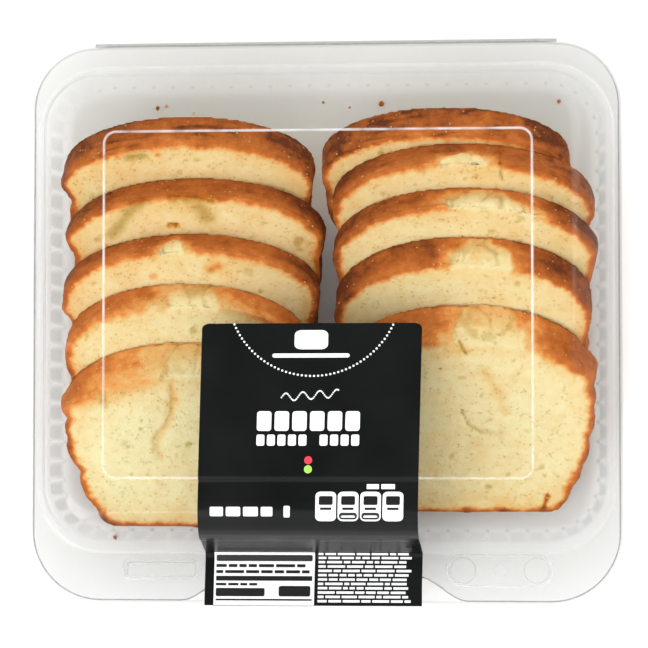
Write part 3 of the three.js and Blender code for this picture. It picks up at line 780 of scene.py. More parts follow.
class CAKEPACK_OT_hinge(bpy.types.Operator):
    """Join tray and lid along the back with the bent film of their living hinge"""
    bl_idname = "cakepack.hinge"
    bl_label = "Make Hinge Film"

    def execute(self, context):
        sizes, looks = context.scene.cakepack_sizes, context.scene.cakepack_looks
        bm = bmesh.new()
        across = 14
        grid = bmesh.ops.create_grid(bm, x_segments=8, y_segments=across, size=1.0)["verts"]
        for vert in grid:
            share = (vert.co.y + 1) / 2
            turn = math.radians(-90 + 180 * share)
            radius = 0.5
            back = HINGE_Y + 0.1 + radius * math.cos(turn)
            vert.co = (vert.co.x * HINGE_HALF_LENGTH, back, HINGE_Z + 0.05 + radius * math.sin(turn))
            if share < 0.02 or share > 0.98:
                vert.co.y = HINGE_Y - 0.9
        piece = object_from(bm, "hinge_film")
        thicken(piece, 0.25, 0.0)
        smooth(piece, 60.0)
        # Painted shade greys the whole hinge film; it carries no painted highlight.
        mark(piece, rim=np.full(len(piece.data.vertices), 0.16), frost=np.zeros(len(piece.data.vertices)))
        give(piece, clear_material(looks), None)
        low, high = Vector((0, HINGE_Y, HINGE_Z - 0.4)) * MM, Vector((0, HINGE_Y, HINGE_Z + 0.5)) * MM
        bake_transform(piece, "tray", "lid", start=low, end=high)
        return {"FINISHED"}


# ---- label ---------------------------------------------------------------------------------------
FLANGE_FILM_Z = DOME_FOOT + LABEL_LIFT
FOLD_Y = -FLANGE["half_y"] - LABEL_LIFT


def label_path():
    """The film's path in the Y-Z plane, in millimetres, from its top edge down to the fold at the flange."""
    path = []
    for foot, inset, z, _ in dome_section(LABEL_LIFT)[3:]:
        path.append((foot["centre_y"] - foot["half_y"] + inset, z))
    path.append((LABEL_TOP_Y, path[-1][1]))
    path.reverse()
    bend = 3.0
    wall_foot = DOME["centre_y"] - DOME["half_y"] - LABEL_LIFT
    for degrees in range(0, 91, 15):
        angle = math.radians(degrees)
        path.append((wall_foot - bend + bend * math.cos(angle) + 0.25,
                     FLANGE_FILM_Z + bend - bend * math.sin(angle)))
    path.append((FOLD_Y, FLANGE_FILM_Z))
    return np.array(path)


LABEL_PATH = label_path()
PATH_RUN = np.concatenate(([0.0], np.cumsum(np.hypot(*np.diff(LABEL_PATH, axis=0).T))))


def label_middle(y):
    """Where the label's middle line is across the pack, at one distance from the hinge."""
    return LABEL_CENTRE_X + LABEL_SKEW * (y - LABEL_TOP_Y)


def path_at(run):
    return [float(np.interp(run, PATH_RUN, LABEL_PATH[:, axis])) for axis in (0, 1)]


def label_place(across, run, lift=0.0):
    """Where a spot of the label lies: across from its middle line, and run along it from its top edge."""
    y, z = path_at(run)
    ahead, behind = path_at(min(run + 0.4, PATH_RUN[-1])), path_at(max(run - 0.4, 0.0))
    step_y, step_z = ahead[0] - behind[0], ahead[1] - behind[1]
    length = math.hypot(step_y, step_z)
    # The film is eased out a little as it goes down the dome's front.
    across *= 1 + LABEL_FLARE * (LABEL_PATH[0, 1] - z) / (LABEL_PATH[0, 1] - FLANGE_FILM_Z)
    return Vector((label_middle(y) + across, y + lift * step_z / length, z - lift * step_y / length))


def run_at(y):
    """How far along the label the height line y of the pack lies."""
    return float(np.interp(-y, -LABEL_PATH[:, 0], PATH_RUN))


def pucker(across, run):
    """Faint creases where the film turns down the dome's front and meets the flange."""
    near = math.exp(-((run - run_at(-88.0)) / 9.0) ** 2)
    ripple = noise.noise(Vector((across * 0.16, run * 0.05, 3.0)))
    return 0.12 * near * ripple + 0.02 * noise.noise(Vector((across * 0.05, run * 0.05, 9.0)))


class CAKEPACK_OT_label(bpy.types.Operator):
    """Lay the black label over the lid's panel and front, and fold it round the tray's flange"""
    bl_idname = "cakepack.label"
    bl_label = "Lay Label"

    def execute(self, context):
        looks = context.scene.cakepack_looks
        film = film_material(looks)
        bm = bmesh.new()
        grid = bmesh.ops.create_grid(bm, x_segments=60, y_segments=190, size=1.0)["verts"]
        corner = 2.4
        for vert in grid:
            run = (1 - vert.co.y) / 2 * PATH_RUN[-1]
            half = LABEL_WIDTH / 2
            if run < corner:
                half -= corner - math.sqrt(corner ** 2 - (corner - run) ** 2)
            across = vert.co.x * half
            vert.co = label_place(across, run, pucker(across, run))
        top = object_from(bm, "label_over_lid")
        thicken(top, FILM, 1.0)
        smooth(top)
        give(top, film, "lid", ["label_top"])

        low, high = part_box("label_front")
        bm = bmesh.new()
        fold = [
            (FOLD_Y - 0.02, DOME_FOOT + 0.05), (FOLD_Y - 0.05, 26.2), (FOLD_Y + 0.1, 25.75),
            (FOLD_Y + 0.5, 25.6), (high.y / MM, 25.6),
        ]
        grid = bmesh.ops.create_grid(bm, x_segments=20, y_segments=len(fold) - 1, size=1.0)["verts"]
        for vert in grid:
            y, z = fold[round((1 - vert.co.y) / 2 * (len(fold) - 1))]
            vert.co = (label_middle(FOLD_Y) + vert.co.x * (1 + LABEL_FLARE) * LABEL_WIDTH / 2, y, z)
        front = object_from(bm, "label_round_flange")
        thicken(front, FILM, -1.0)
        smooth(front)
        give(front, film, "tray", ["label_front"])
        return {"FINISHED"}


# ---- print on the label --------------------------------------------------------------------------
INK_LIFT = 0.24


def add_bar(bm, left, right, top, bottom, radius=0.0, lift=INK_LIFT):
    """A printed bar, its corners rounded, between two lines across the label and two along it (as y)."""
    rows = max(1, int(abs(top - bottom) / 1.5))
    made = bmesh.ops.create_grid(bm, x_segments=1, y_segments=rows, size=1.0)["verts"]
    if radius:
        corners = [v for v in made if abs(abs(v.co.x) - 1) < 1e-6 and abs(abs(v.co.y) - 1) < 1e-6]
    half_x, half_y = (right - left) / 2, (top - bottom) / 2
    for vert in made:
        vert.co = ((left + right) / 2 + vert.co.x * half_x, (top + bottom) / 2 + vert.co.y * half_y, lift)
    if radius:
        bmesh.ops.bevel(
            bm, geom=corners, offset=radius, segments=4, profile=0.5, material=-1, affect="VERTICES"
        )


def add_dot(bm, across, y, radius, lift=INK_LIFT, sides=16):
    place = Matrix.Translation((across, y, lift))
    bmesh.ops.create_circle(bm, cap_ends=True, segments=sides, radius=radius, matrix=place)


def wrap_print(bm, name):
    """Lays flat print, made with across as x, the pack's y and its lift, onto the label."""
    bmesh.ops.triangulate(bm, faces=[f for f in bm.faces if len(f.verts) > 4])
    for vert in bm.verts:
        across, y, lift = vert.co
        run = run_at(y)
        vert.co = label_place(across, run, pucker(across, run) + lift)
    bmesh.ops.recalc_face_normals(bm, faces=bm.faces)
    piece = object_from(bm, name)
    thicken(piece, INK, 0.0)
    return piece


def words(dice, left, right, shortest, longest, space):
    """Splits a line of small print into words: the spans of its bars."""
    spans, here = [], left
    while here < right - shortest:
        there = min(here + dice.uniform(shortest, longest), right)
        spans.append((here, there))
        here = there + space
    return spans


def panel_left(index):
    """Left edge of one of the four small panels in a row."""
    return 3.1 + 8.65 * index


def white_print(bm, dice):
    arc = {"across": 0.8, "y": 11.5, "radius": 33.8, "dot": 0.42, "step": 2.68}
    turn = -156.0
    while turn < -24.0:
        angle = math.radians(turn)
        add_dot(
            bm, arc["across"] + arc["radius"] * math.cos(angle),
            arc["y"] + arc["radius"] * math.sin(angle), arc["dot"],
        )
        turn += arc["step"]
    # A plain mark inside the arc: a loaf's end, with a bar under it.
    add_bar(bm, -6.5, 6.5, -4.6, -12.0, 2.6)
    add_bar(bm, -15.0, 15.0, -13.6, -15.2, 0.8)
    # A flourish of dots, the title's blocks and the line under them.
    for step in range(46):
        share = step / 45
        add_dot(bm, -11.0 + 22.0 * share, -30.6 + 1.5 * math.sin(share * 21.0) + 1.6 * share, 0.32, sides=10)
    for index in range(6):
        left = -20.3 + index * 6.86
        add_bar(bm, left, left + 5.6, -35.9, -43.5, 1.1)
    for index in range(10):
        if index != 5:
            left = -20.3 + index * 4.08
            add_bar(bm, left, left + 3.1, -44.9, -49.2, 0.7)
    for left, right in words(dice, -37.9, -13.5, 3.0, 6.5, 1.1):
        add_bar(bm, left, right, -72.8, -76.4, 0.5)
    add_bar(bm, -9.2, -6.8, -72.4, -76.8, 0.5)
    for left, right in words(dice, 22.8, 36.4, 2.5, 5.5, 0.9):
        add_bar(bm, left, right, -64.0, -65.9, 0.2)
    for index in range(4):
        left = panel_left(index)
        add_bar(bm, left, left + 8.0, -66.9, -78.2, 2.0)
    add_bar(bm, -39.1, 0.5, -91.4, FOLD_Y + 0.1)
    for row in range(12):
        y = -91.6 - 1.72 * row
        for left, right in words(dice, 1.9, 38.4, 1.8, 7.0, 0.7):
            add_bar(bm, left, right, y, y - 0.95)


def black_print(bm, dice):
    """What is printed dark on the white fields."""
    lift = INK_LIFT + 0.06
    for index in range(4):
        left = panel_left(index)
        add_bar(bm, left + 1.3, left + 6.7, -68.6, -72.0, 0.6, lift)
        add_bar(bm, left + 1.8, left + 6.2, -73.0, -73.9, 0.2, lift)
        if index in (1, 2):
            add_bar(bm, left + 0.5, left + 7.5, -74.9, -77.5, 1.2, lift)
    add_bar(bm, -38.3, -0.4, -92.3, -95.2, 0.6, lift)
    for y in (-96.4, -98.8):
        for left, right in words(dice, -38.3, -1.5, 2.5, 7.5, 0.8):
            add_bar(bm, left, right, y, y - 1.2, 0.2, lift)
    add_bar(bm, -38.3, -0.4, -101.1, -103.0, 0.0, lift)
    for left, right in words(dice, -38.3, -22.0, 2.5, 6.0, 0.8):
        add_bar(bm, left, right, -103.9, -104.9, 0.2, lift)
    add_bar(bm, -38.3, -19.0, -105.9, -109.2, 0.6, lift)
    add_bar(bm, -13.5, -1.0, -105.0, -109.2, 0.8, lift)
    add_bar(bm, -38.3, -0.4, -110.2, -110.9, 0.0, lift)


class CAKEPACK_OT_print(bpy.types.Operator):
    """Print the label with plain blocks, bars and dots"""
    bl_idname = "cakepack.print"
    bl_label = "Print Label"

    def execute(self, context):
        looks = context.scene.cakepack_looks
        dice = random.Random(5)
        inks = (
            ("print_white", white_print, looks.ink_white),
            ("print_black", black_print, looks.film),
            ("print_red", lambda bm, dice: add_dot(bm, 0.0, -54.8, 1.55, sides=32), looks.ink_red),
            ("print_green", lambda bm, dice: add_dot(bm, 0.0, -58.3, 1.55, sides=32), looks.ink_green),
        )
        for name, draw, colour in inks:
            bm = bmesh.new()
            draw(bm, dice)
            give(wrap_print(bm, name), ink_material(name, tuple(colour)), "lid")
        bm = bmesh.new()
        made = bmesh.ops.create_grid(bm, x_segments=1, y_segments=1, size=1.0)["verts"]
        for vert in made:
            vert.co = (label_middle(FOLD_Y) - 19.9 + 20.4 * vert.co.x, FOLD_Y - 0.24, 27.5 + 1.2 * vert.co.y)
        field = object_from(bm, "print_fold")
        thicken(field, INK, 0.0)
        give(field, ink_material("print_fold", tuple(looks.ink_white)), "tray")
        return {"FINISHED"}


# ---- cake ----------------------------------------------------------------------------------------
def slice_frame(node):
    """A slice's own axes, measured on its solid: origin at its back foot's middle, then lean and sizes."""
    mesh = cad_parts[node].data
    face = max((p for p in mesh.polygons if p.normal.z > 0 and abs(p.normal.x) < 1e-3), key=lambda p: p.area)
    lean = math.atan2(-face.normal.y, face.normal.z)
    turn = Matrix.Rotation(-lean, 3, "X")
    places = np.array([turn @ v.co for v in mesh.vertices]) / MM
    low, high = places.min(0), places.max(0)
    origin = Vector(((low[0] + high[0]) / 2, low[1], low[2]))
    front = places[places[:, 2] > high[2] - 0.1]
    return {
        "lean": lean, "origin": origin, "width": high[0] - low[0], "height": high[1] - low[1],
        "thickness": high[2] - low[2], "front_height": front[:, 1].max() - low[1] + CRUST_ROUNDING,
    }


def bezier(a, b, c, d, steps):
    t = np.linspace(0, 1, steps, endpoint=False)[:, None]
    a, b, c, d = (np.array(p, float) for p in (a, b, c, d))
    return a * (1 - t) ** 3 + 3 * b * t * (1 - t) ** 2 + 3 * c * t ** 2 * (1 - t) + d * t ** 3


def slice_outline(width, height):
    """Outline of a cut face: rounded foot, full sides, a tuck under the lip of the crust and a low dome."""
    lip, lip_height = width / 2, height * 0.68
    half = np.concatenate((
        bezier((0, 0), (0.2 * lip, 0), (0.45 * lip, 0), (0.62 * lip, 0.2), 8),
        bezier(
            (0.62 * lip, 0.2), (0.74 * lip, 0.6), (0.77 * lip, 0.08 * lip_height),
            (0.82 * lip, 0.24 * lip_height), 10,
        ),
        bezier(
            (0.82 * lip, 0.24 * lip_height), (0.90 * lip, 0.42 * lip_height),
            (0.985 * lip, 0.5 * lip_height), (0.965 * lip, 0.76 * lip_height), 14,
        ),
        bezier(
            (0.965 * lip, 0.76 * lip_height), (0.955 * lip, 0.85 * lip_height),
            (1.0 * lip, 0.88 * lip_height), (1.0 * lip, lip_height), 8,
        ),
        bezier((lip, lip_height), (lip, lip_height + 0.15 * height), (0.62 * lip, height), (0, height), 28),
        np.array([(0.0, height)]),
    ))
    other = half[-2:0:-1] * (-1, 1)
    return np.concatenate((half, other))


def end_outlines(shape):
    return [slice_outline(shape["width"], shape[key]) for key in ("height", "front_height")]


def plain_slice(shape):
    """The smooth slice in its own axes, remeshed into even small faces."""
    bm = bmesh.new()
    back, front = end_outlines(shape)
    for end in grow_sheet(bm, [(back, 0.0, {}), (front, shape["thickness"], {})]):
        cap(bm, end)
    bmesh.ops.recalc_face_normals(bm, faces=bm.faces)
    piece = object_from(bm, "slice")
    remesh = piece.modifiers.new("even", "REMESH")
    remesh.mode = "VOXEL"
    remesh.voxel_size = 0.75 * MM
    return settle(piece)


def outline_distance(places, shape):
    """How deep inside its outline each place lies, in millimetres (0 on the outer skin)."""
    share = np.clip(places[:, 2] / shape["thickness"], 0, 1)
    back, front = end_outlines(shape)
    best = np.full(len(places), 1e9)
    count = len(back)
    for index in range(count):
        a = back[index] * (1 - share)[:, None] + front[index] * share[:, None]
        following = (index + 1) % count
        b = back[following] * (1 - share)[:, None] + front[following] * share[:, None]
        edge, rel = b - a, places[:, :2] - a
        t = np.clip((rel * edge).sum(1) / np.maximum((edge * edge).sum(1), 1e-9), 0, 1)
        gap = rel - edge * t[:, None]
        best = np.minimum(best, np.hypot(gap[:, 0], gap[:, 1]))
    return best


def noise_shift(seed):
    return Vector((seed * 7.31, seed * 3.17, seed * 5.53))


def field(places, scale, seed, octaves=3):
    """Fractal noise, about -1 to 1, at every place."""
    shift = noise_shift(seed)
    return np.array([noise.fractal(Vector(p) / scale + shift, 0.9, 2.1, octaves) for p in places])


def cell_depth(places, scale, seed):
    """How far each place lies from the joints between rounded cells: 0 on a joint, towards 1 inside."""
    shift = noise_shift(seed)
    found = np.array([noise.voronoi(Vector(p) / scale + shift)[0][:2] for p in places])
    return found[:, 1] - found[:, 0]


def line_strength(places, line, width):
    """How near each place is to a line across and up the slice: 1 on it, falling off over its width."""
    best = np.full(len(places), 1e9)
    for a, b in zip(line, line[1:]):
        a, b = np.array(a, float), np.array(b, float)
        rel, edge = places[:, :2] - a, b - a
        t = np.clip(rel @ edge / (edge @ edge), 0, 1)
        best = np.minimum(best, np.hypot(*(rel - t[:, None] * edge).T))
    return np.exp(-((best / (0.6 * width)) ** 2))


def sculpt_slice(piece, shape, looks):
    """Lumps, splits, wrinkles and pores by moving the slice's points, and its browning as attributes."""
    mesh = piece.data
    count = len(mesh.vertices)
    co = places_of(piece)
    normals = np.empty(count * 3)
    mesh.vertex_normals.foreach_get("vector", normals)
    normals = normals.reshape(-1, 3)
    dice = random.Random(looks["seed"])
    seed = looks["seed"]
    depth = outline_distance(co, shape)
    across, up = co[:, 0], co[:, 1]
    height = shape["height"]
    skin = np.clip(1.0 - np.abs(normals[:, 2]) * 1.2, 0, 1)
    cut_face = 1.0 - skin
    dome = wave(up / height, 0.60, 0.74)

    lumps = field(co, 17.0, seed, 3)
    knobs = field(co, 5.0, seed + 40, 3)
    grain = field(co, 1.8, seed + 80, 2)
    patches = field(co, 9.0, seed + 120, 4)
    clouds = field(co, 26.0, seed + 200, 3)
    from_cut = 1.0 - np.clip(co[:, 2] / shape["thickness"], 0, 1)

    # Browning: the skin is browned through, and its colour fades into the crumb over a few millimetres.
    rim = (3.3 + 0.2 * dome - 0.5 * (1.0 - wave(up, 2.0, 9.0))) * (1.0 + 0.40 * knobs + 0.25 * grain)
    bake = 1.0 - wave(depth, 0.3 * rim, 1.1 * rim + 0.3)
    tone = looks["brown"] + 0.07 * patches + 0.04 * knobs + 0.05 * lumps + 0.03 * grain
    tone = tone + 0.16 * wave(np.abs(across), 26.0, 48.0) - 0.14 * (1.0 - wave(from_cut, 0.0, 0.5)) * dome
    sides = 0.76 + 0.12 * knobs + 0.10 * patches + 0.10 * wave(-up, -4.0, 0.0)
    tone = tone * dome + sides * (1.0 - dome)

    move = skin * (0.8 * lumps + 0.30 * knobs + 0.12 * grain)
    move = move + skin * (1.0 - dome) * 0.8 * patches
    edge = 1.0 - wave(np.minimum(co[:, 2], shape["thickness"] - co[:, 2]), 0.0, 1.8)
    move = move - skin * edge * (0.6 + 0.3 * grain)
    for side, height_at, amount, width in looks["bulges"]:
        outer = wave(side * across, 0.34 * shape["width"], 0.44 * shape["width"])
        spot = np.exp(-(((up - height_at) / width) ** 2)) * outer
        co[:, 0] += side * amount * spot
    cracks, split = np.zeros(count), np.zeros(count)
    if looks["tear"]:
        middle, half, reach = looks["tear"]
        away = np.hypot((across - middle + 1.5 * lumps) / half, from_cut / reach)
        away = away + 0.12 * knobs + 0.24 * patches
        split = (1.0 - wave(away, 0.80, 1.05)) * dome
        beside = (1.0 - wave(away, 1.0, 1.7)) * dome
        sway = np.stack((2.2 * lumps + 1.2 * knobs, 0.0 * up, 1.5 * patches), axis=1)
        bent = co * (1.0, 0.5, 0.45) + sway
        lobes = np.clip(cell_depth(bent, 11.0, seed + 160) + 0.10 * knobs, 0, 1)
        cracks = (1.0 - wave(lobes, 0.0, 0.12)) * (1.0 - wave(depth, 1.0, 4.0)) * wave(from_cut, 0.02, 0.15)
        move = move + skin * split * (2.0 * np.sqrt(lobes) - 1.2)
        tone = tone - 0.27 * beside * (1.0 - split)
        torn = 0.05 + 0.08 * wave(patches + lobes, 0.5, 1.0) + 0.26 * from_cut ** 1.5
        tone = tone * (1.0 - split) + split * torn
        brow = split * (1.0 - wave(depth, 0.0, 5.0)) * (1.0 - wave(from_cut, 0.05, 0.4))
        co[:, 1] -= 1.5 * brow
        co[:, 2] -= 1.6 * brow * cut_face
    if looks["wrinkle"]:
        arched = up + 0.004 * across ** 2
        long = np.stack((0.11 * across, arched, co[:, 2]), axis=1)
        folds = np.clip(1.0 - 3.6 * np.abs(field(long, 4.2, seed + 240, 2)), 0, 1) ** 1.5
        creping = np.clip(1.0 - 3.6 * np.abs(field(long, 1.7, seed + 280, 2)), 0, 1)
        folds = looks["wrinkle"] * (folds + 0.45 * creping) * dome * wave(lumps + 0.6 * patches, -0.45, 0.15)
        move = move - skin * 0.5 * folds * (1.0 - split)
        tone = tone + 0.17 * folds * (1.0 - split)

    # The crumb: patches of paler and more golden crumb, tanned next to the crust; in the slices behind it is
    # tanned all over and, as painted shade, more where the next slice's crest rises over it.
    crumb = 0.02 + looks["tan_and_shade"] + 0.035 * wave(clouds, -0.1, 0.6) + 0.03 * wave(patches, 0.1, 0.7)
    crumb = crumb + 0.05 * (1.0 - wave(depth, 2.0, 11.0)) + 0.03 * (1.0 - wave(up, 4.0, 22.0))
    # Painted shade: low on the cut face, where the slice in front rises over it, the crumb of the rows
    # behind is tanned more.
    crumb = crumb + 0.4 * looks["tan_and_shade"] * (1.0 - wave(up / height, 0.70, 0.84))
    # Hollows, creases and cracks: dented a little and darkened with painted shade.
    pit = np.zeros(count)
    for _ in range(110):
        centre = np.array((
            dice.uniform(-0.46, 0.46) * shape["width"], dice.uniform(0.03, 0.97) * height,
            dice.choice((0.0, shape["thickness"])),
        ))
        radius = dice.uniform(0.5, 1.0) if dice.random() < 0.85 else dice.uniform(1.0, 1.8)
        stretch = np.array((dice.uniform(0.4, 1.1), dice.uniform(0.5, 1.2), 1.0))
        rel = (co - centre) * stretch
        near = np.nonzero((rel ** 2).sum(1) < (2.0 * radius) ** 2)[0]
        gap = np.sqrt((rel[near] ** 2).sum(1)) * (1.0 + 0.5 * knobs[near] + 0.5 * grain[near])
        pit[near] = np.maximum(pit[near], (1.0 - wave(gap, 0.3 * radius, radius)) * dice.uniform(0.2, 0.8))
    pit = pit * cut_face * wave(depth, 1.5, 4.0)
    front = wave(co[:, 2], shape["thickness"] - 3.0, shape["thickness"] - 1.2)
    dents = np.zeros(count)
    for width, deep, tan, shade, line in looks["creases"]:
        wander = co + np.stack((0.9 * knobs, 0.9 * grain, np.zeros(count)), axis=1)
        strength = line_strength(wander, line, width) * np.maximum(front, 0.6 * dome * skin)
        dents = np.maximum(dents, deep * strength)
        crumb = crumb + tan * strength
        pit = np.maximum(pit, shade * strength)
    # Painted shade in the cracks of a torn dome.
    pit = np.maximum(pit, 0.45 * split * cracks)
    move = move - cut_face * (0.14 * np.abs(grain) + 0.16 * np.abs(knobs))
    move = move - 0.6 * pit * cut_face - 0.6 * dents

    bake = np.clip(crumb + bake * (np.clip(tone, 0.04, 1.0) - crumb), 0.0, 1.0)
    co = co + normals * move[:, None]
    co[:, 2] = np.clip(co[:, 2], -0.1, shape["thickness"] + 0.25)
    turn = np.array(Matrix.Rotation(shape["lean"], 3, "X"), dtype=float)
    co = (co + np.array(shape["origin"])) @ turn.T
    co[:, 2] = np.maximum(co[:, 2], CAKE_FLOOR)
    mesh.vertices.foreach_set("co", (co * MM).ravel())
    mark(piece, bake=bake, pit=np.clip(pit, 0.0, 1.0))
    mesh.update()


class CAKEPACK_OT_slices(bpy.types.Operator):
    """Bake the slices: browned domes, torn tops and a fine-pored crumb"""
    bl_idname = "cakepack.slices"
    bl_label = "Bake Slices"

    def execute(self, context):
        material = cake_material(context.scene.cakepack_looks)
        for node, looks in SLICE_LOOKS.items():
            shape = slice_frame(node)
            piece = plain_slice(shape)
            piece.name = node.replace("slice", "cake")
            sculpt_slice(piece, shape, looks)
            piece.data.shade_smooth()
            give(piece, material, "tray", [node])
        return {"FINISHED"}


class CAKEPACK_OT_crumbs(bpy.types.Operator):
    """Scatter a few loose crumbs on the tray's floor"""
    bl_idname = "cakepack.crumbs"
    bl_label = "Scatter Crumbs"

    def execute(self, context):
        sizes, looks = context.scene.cakepack_sizes, context.scene.cakepack_looks
        dice = random.Random(31)
        bm = bmesh.new()
        tone = bm.verts.layers.float.new("bake")
        pit = bm.verts.layers.float.new("pit")
        for _ in range(sizes.crumbs):
            size = dice.choice((0.5, 0.7, 1.0, 1.4)) * dice.uniform(0.8, 1.2)
            middle = Vector((dice.uniform(-95, 95), dice.choice((-86.5, 86.0)) + dice.uniform(-1.5, 6.0), 0))
            if dice.random() < 0.4:
                middle = Vector((dice.choice((-101.0, 2.0, 103.0)), dice.uniform(-60, 80), 0))
            made = bmesh.ops.create_icosphere(bm, subdivisions=2, radius=size)["verts"]
            browned = dice.choice((0.1, 0.35, 0.6, 0.8))
            for vert in made:
                swell = 1 + 0.45 * noise.noise(vert.co * 1.6 + middle)
                vert.co = Vector((vert.co.x * swell, vert.co.y * swell, vert.co.z * swell * 0.7))
                vert[tone] = browned
                vert[pit] = 0.0
            lowest = min(v.co.z for v in made)
            middle.z = TRAY_FLOOR - lowest
            bmesh.ops.translate(bm, verts=made, vec=middle)
        piece = object_from(bm, "crumbs")
        piece.data.shade_smooth()
        give(piece, cake_material(looks), "tray")
        return {"FINISHED"}


# ---- stage ---------------------------------------------------------------------------------------
class CAKEPACK_OT_stage(bpy.types.Operator):
    """Set the white table, the soft lights and the camera"""
    bl_idname = "cakepack.stage"
    bl_label = "Set Stage"

    def execute(self, context):
        stage, looks = context.scene.cakepack_stage, context.scene.cakepack_looks
        bm = bmesh.new()
        bmesh.ops.create_grid(bm, x_segments=2, y_segments=2, size=3000.0)
        bmesh.ops.translate(bm, verts=bm.verts, vec=(0, 0, -TABLE_GAP))
        table = object_from(bm, "table")
        table.data.materials.append(floor_material(looks))

        aim = Vector((-0.2, -0.6, FLANGE_TOP)) * MM
        lean_x, lean_y = stage.tilt_right, stage.tilt_front
        direction = Vector((math.tan(lean_x), -math.tan(lean_y), 1.0)).normalized()
        camera = bpy.data.objects.new("camera", bpy.data.cameras.new("camera"))
        right = Vector((0, 1, 0)).cross(direction).normalized()
        axes = Matrix((right, direction.cross(right), direction)).transposed()
        camera.location = aim + direction * stage.distance
        camera.rotation_euler = axes.to_euler()
        camera.data.sensor_width = 36.0
        camera.data.lens = 36.0 * stage.distance / stage.view_width
        camera.data.clip_start = 0.01
        context.scene.collection.objects.link(camera)
        context.scene.camera = camera

        lights = (
            ("overhead", (-0.1, -0.2, 1.5), (1.3, 1.3), stage.overhead_light, False),
            ("key", (-0.75, -0.85, 1.1), (0.9, 0.9), stage.key_light, True),
            ("fill", (1.0, 0.5, 1.0), (0.8, 0.8), stage.fill_light, True),
        )
        for name, place, size, watts, mirrored in lights:
            data = bpy.data.lights.new(name, "AREA")
            data.shape = "RECTANGLE"
            data.size, data.size_y = size
            data.energy = watts
            lamp = bpy.data.objects.new(name, data)
            lamp.location = place
            lamp.rotation_euler = (aim - Vector(place)).to_track_quat("-Z", "Y").to_euler()
            lamp.visible_glossy = mirrored
            context.scene.collection.objects.link(lamp)

        world = bpy.data.worlds.new("studio")
        world.use_nodes = True
        nodes, links = world.node_tree.nodes, world.node_tree.links
        sky = nodes.new("ShaderNodeTexCoord").outputs["Generated"]
        split = nodes.new("ShaderNodeSeparateXYZ")
        links.new(sky, split.inputs[0])
        # A bright room whose ceiling is dark, so that flat glossy faces seen from above stay clear.
        room = ramp(nodes, ((0.0, grey(1)), (0.72, grey(1)), (0.93, grey(0.05))))
        links.new(split.outputs["Z"], room.inputs["Fac"])
        links.new(room.outputs["Color"], nodes["Background"].inputs["Color"])
        nodes["Background"].inputs["Strength"].default_value = stage.surround
        context.scene.world = world
        context.scene.view_settings.view_transform = "Standard"
        context.scene.cycles.transparent_max_bounces = 32
        return {"FINISHED"}


# ---- settings, panel and registration ------------------------------------------------------------
def colour(name, description, value):
    return FloatVectorProperty(
        name=name, description=description, default=value, subtype="COLOR", min=0.0, max=1.0
    )


def length(name, description, value):
    return FloatProperty(name=name, description=description, default=value, unit="LENGTH", min=0.0)


def power(name, description, value):
    return FloatProperty(name=name, description=description, default=value, unit="POWER")


class CakePackSizes(bpy.types.PropertyGroup):
    """Sizes of the pack's visible pieces"""
    sheet: length("Sheet", "Thickness of the clear formed sheet", 0.0006)
    flute_depth: length("Flute depth", "Depth of the flutes in the tray's walls", 0.0014)
    crumbs: IntProperty(
        name="Crumbs", description="How many loose crumbs lie in the tray", default=26, min=0
    )


class CakePackLooks(bpy.types.PropertyGroup):
    """Colours of the cake, the clear sheet, the label and the table"""
    crumb: colour("Crumb", "Fresh pale crumb", (0.87, 0.79, 0.46))
    tan: colour("Tan", "First browning next to the crumb", (0.80, 0.53, 0.21))
    golden: colour("Golden", "Golden crust beside the splits", (0.80, 0.33, 0.085))
    amber: colour("Amber", "Crust between golden and brown", (0.62, 0.19, 0.042))
    brown: colour("Brown", "Well baked crust", (0.42, 0.112, 0.021))
    dark: colour("Dark", "Darkest crust", (0.14, 0.036, 0.012))
    pore: colour("Pore", "Tint inside fine pores", (0.70, 0.60, 0.30))
    # Painted shade inside hollows, creases and cracks.
    pit_shade_tint: colour("Hollow", "Tint inside hollows and cracks", (0.60, 0.52, 0.22))
    clear: colour("Clear sheet", "What the sheet lets through seen square on", (0.93, 0.931, 0.927))
    # Painted shade: the grey that stands in for refraction at the sheet's cut edges, folds and flute faces.
    rim: colour("Cut edge", "Tint of cut edges and tight folds", (0.42, 0.43, 0.42))
    edge: colour("Sheet edge", "What the sheet lets through seen edge on", (0.93, 0.935, 0.935))
    film: colour("Label film", "Black of the label", (0.004, 0.0045, 0.0045))
    ink_white: colour("White ink", "White print", (0.86, 0.86, 0.85))
    ink_red: colour("Red ink", "Upper spot", (0.75, 0.03, 0.05))
    ink_green: colour("Green ink", "Lower spot", (0.33, 0.72, 0.08))
    floor: colour("Table", "White table top", grey(0.9))


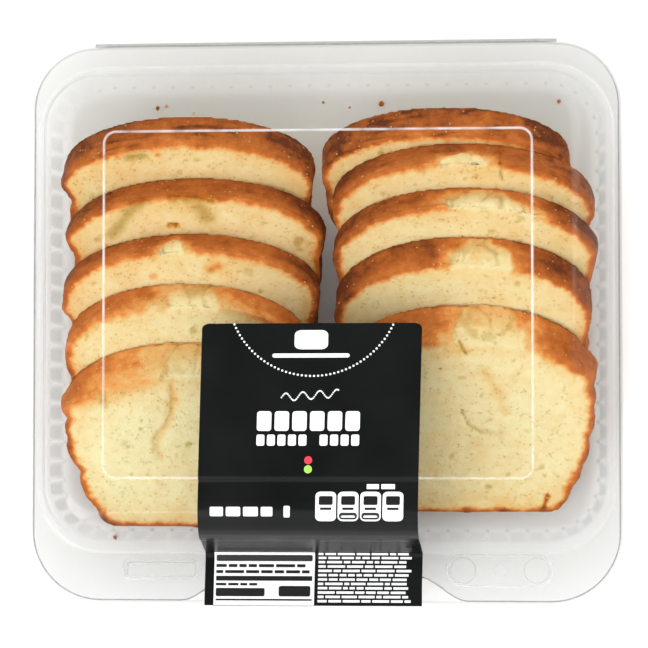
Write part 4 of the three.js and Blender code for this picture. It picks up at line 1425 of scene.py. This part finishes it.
class CakePackStage(bpy.types.PropertyGroup):
    """Camera and lights"""
    distance: length("Camera distance", "From the lens to the pack's flange", 1.1)
    view_width: length("View width", "Width seen at the flange", 0.2592)
    tilt_right: FloatProperty(name="Tilt right", description="Camera's lean to the right", default=0.0855,
                              subtype="ANGLE")
    tilt_front: FloatProperty(name="Tilt front", description="Camera's lean to the front", default=0.0437,
                              subtype="ANGLE")
    key_light: power("Key", "Large soft light from the front left", 9.0)
    fill_light: power("Fill", "Soft light from the back right", 4.5)
    overhead_light: power("Overhead", "Wide soft light straight above", 15.0)
    surround: FloatProperty(name="Surround", description="Brightness of the room", default=1.1, min=0.0)


class CAKEPACK_PT_panel(bpy.types.Panel):
    """Lists the pack's pieces and their settings"""
    bl_label = "Cake Pack"
    bl_idname = "CAKEPACK_PT_panel"
    bl_space_type = "VIEW_3D"
    bl_region_type = "UI"
    bl_category = "Cake Pack"

    def draw(self, context):
        layout = self.layout
        for operator in OPERATORS:
            layout.operator(operator.bl_idname)
        scene = context.scene
        for group in (scene.cakepack_sizes, scene.cakepack_looks, scene.cakepack_stage):
            box = layout.box()
            for name in group.__annotations__:
                box.prop(group, name)


OPERATORS = (
    CAKEPACK_OT_stage, CAKEPACK_OT_slices, CAKEPACK_OT_crumbs, CAKEPACK_OT_tray, CAKEPACK_OT_lid,
    CAKEPACK_OT_hinge, CAKEPACK_OT_label, CAKEPACK_OT_print,
)
GROUPS = {"cakepack_sizes": CakePackSizes, "cakepack_looks": CakePackLooks, "cakepack_stage": CakePackStage}


def register():
    for cls in (*GROUPS.values(), *OPERATORS, CAKEPACK_PT_panel):
        bpy.utils.register_class(cls)
    for name, group in GROUPS.items():
        setattr(bpy.types.Scene, name, PointerProperty(type=group))


def unregister():
    for name in GROUPS:
        delattr(bpy.types.Scene, name)
    for cls in (CAKEPACK_PT_panel, *reversed(OPERATORS), *reversed(tuple(GROUPS.values()))):
        bpy.utils.unregister_class(cls)


def main():
    register()
    for operator in OPERATORS:
        group, name = operator.bl_idname.split(".")
        getattr(getattr(bpy.ops, group), name)()


if __name__ == "__main__":
    main()
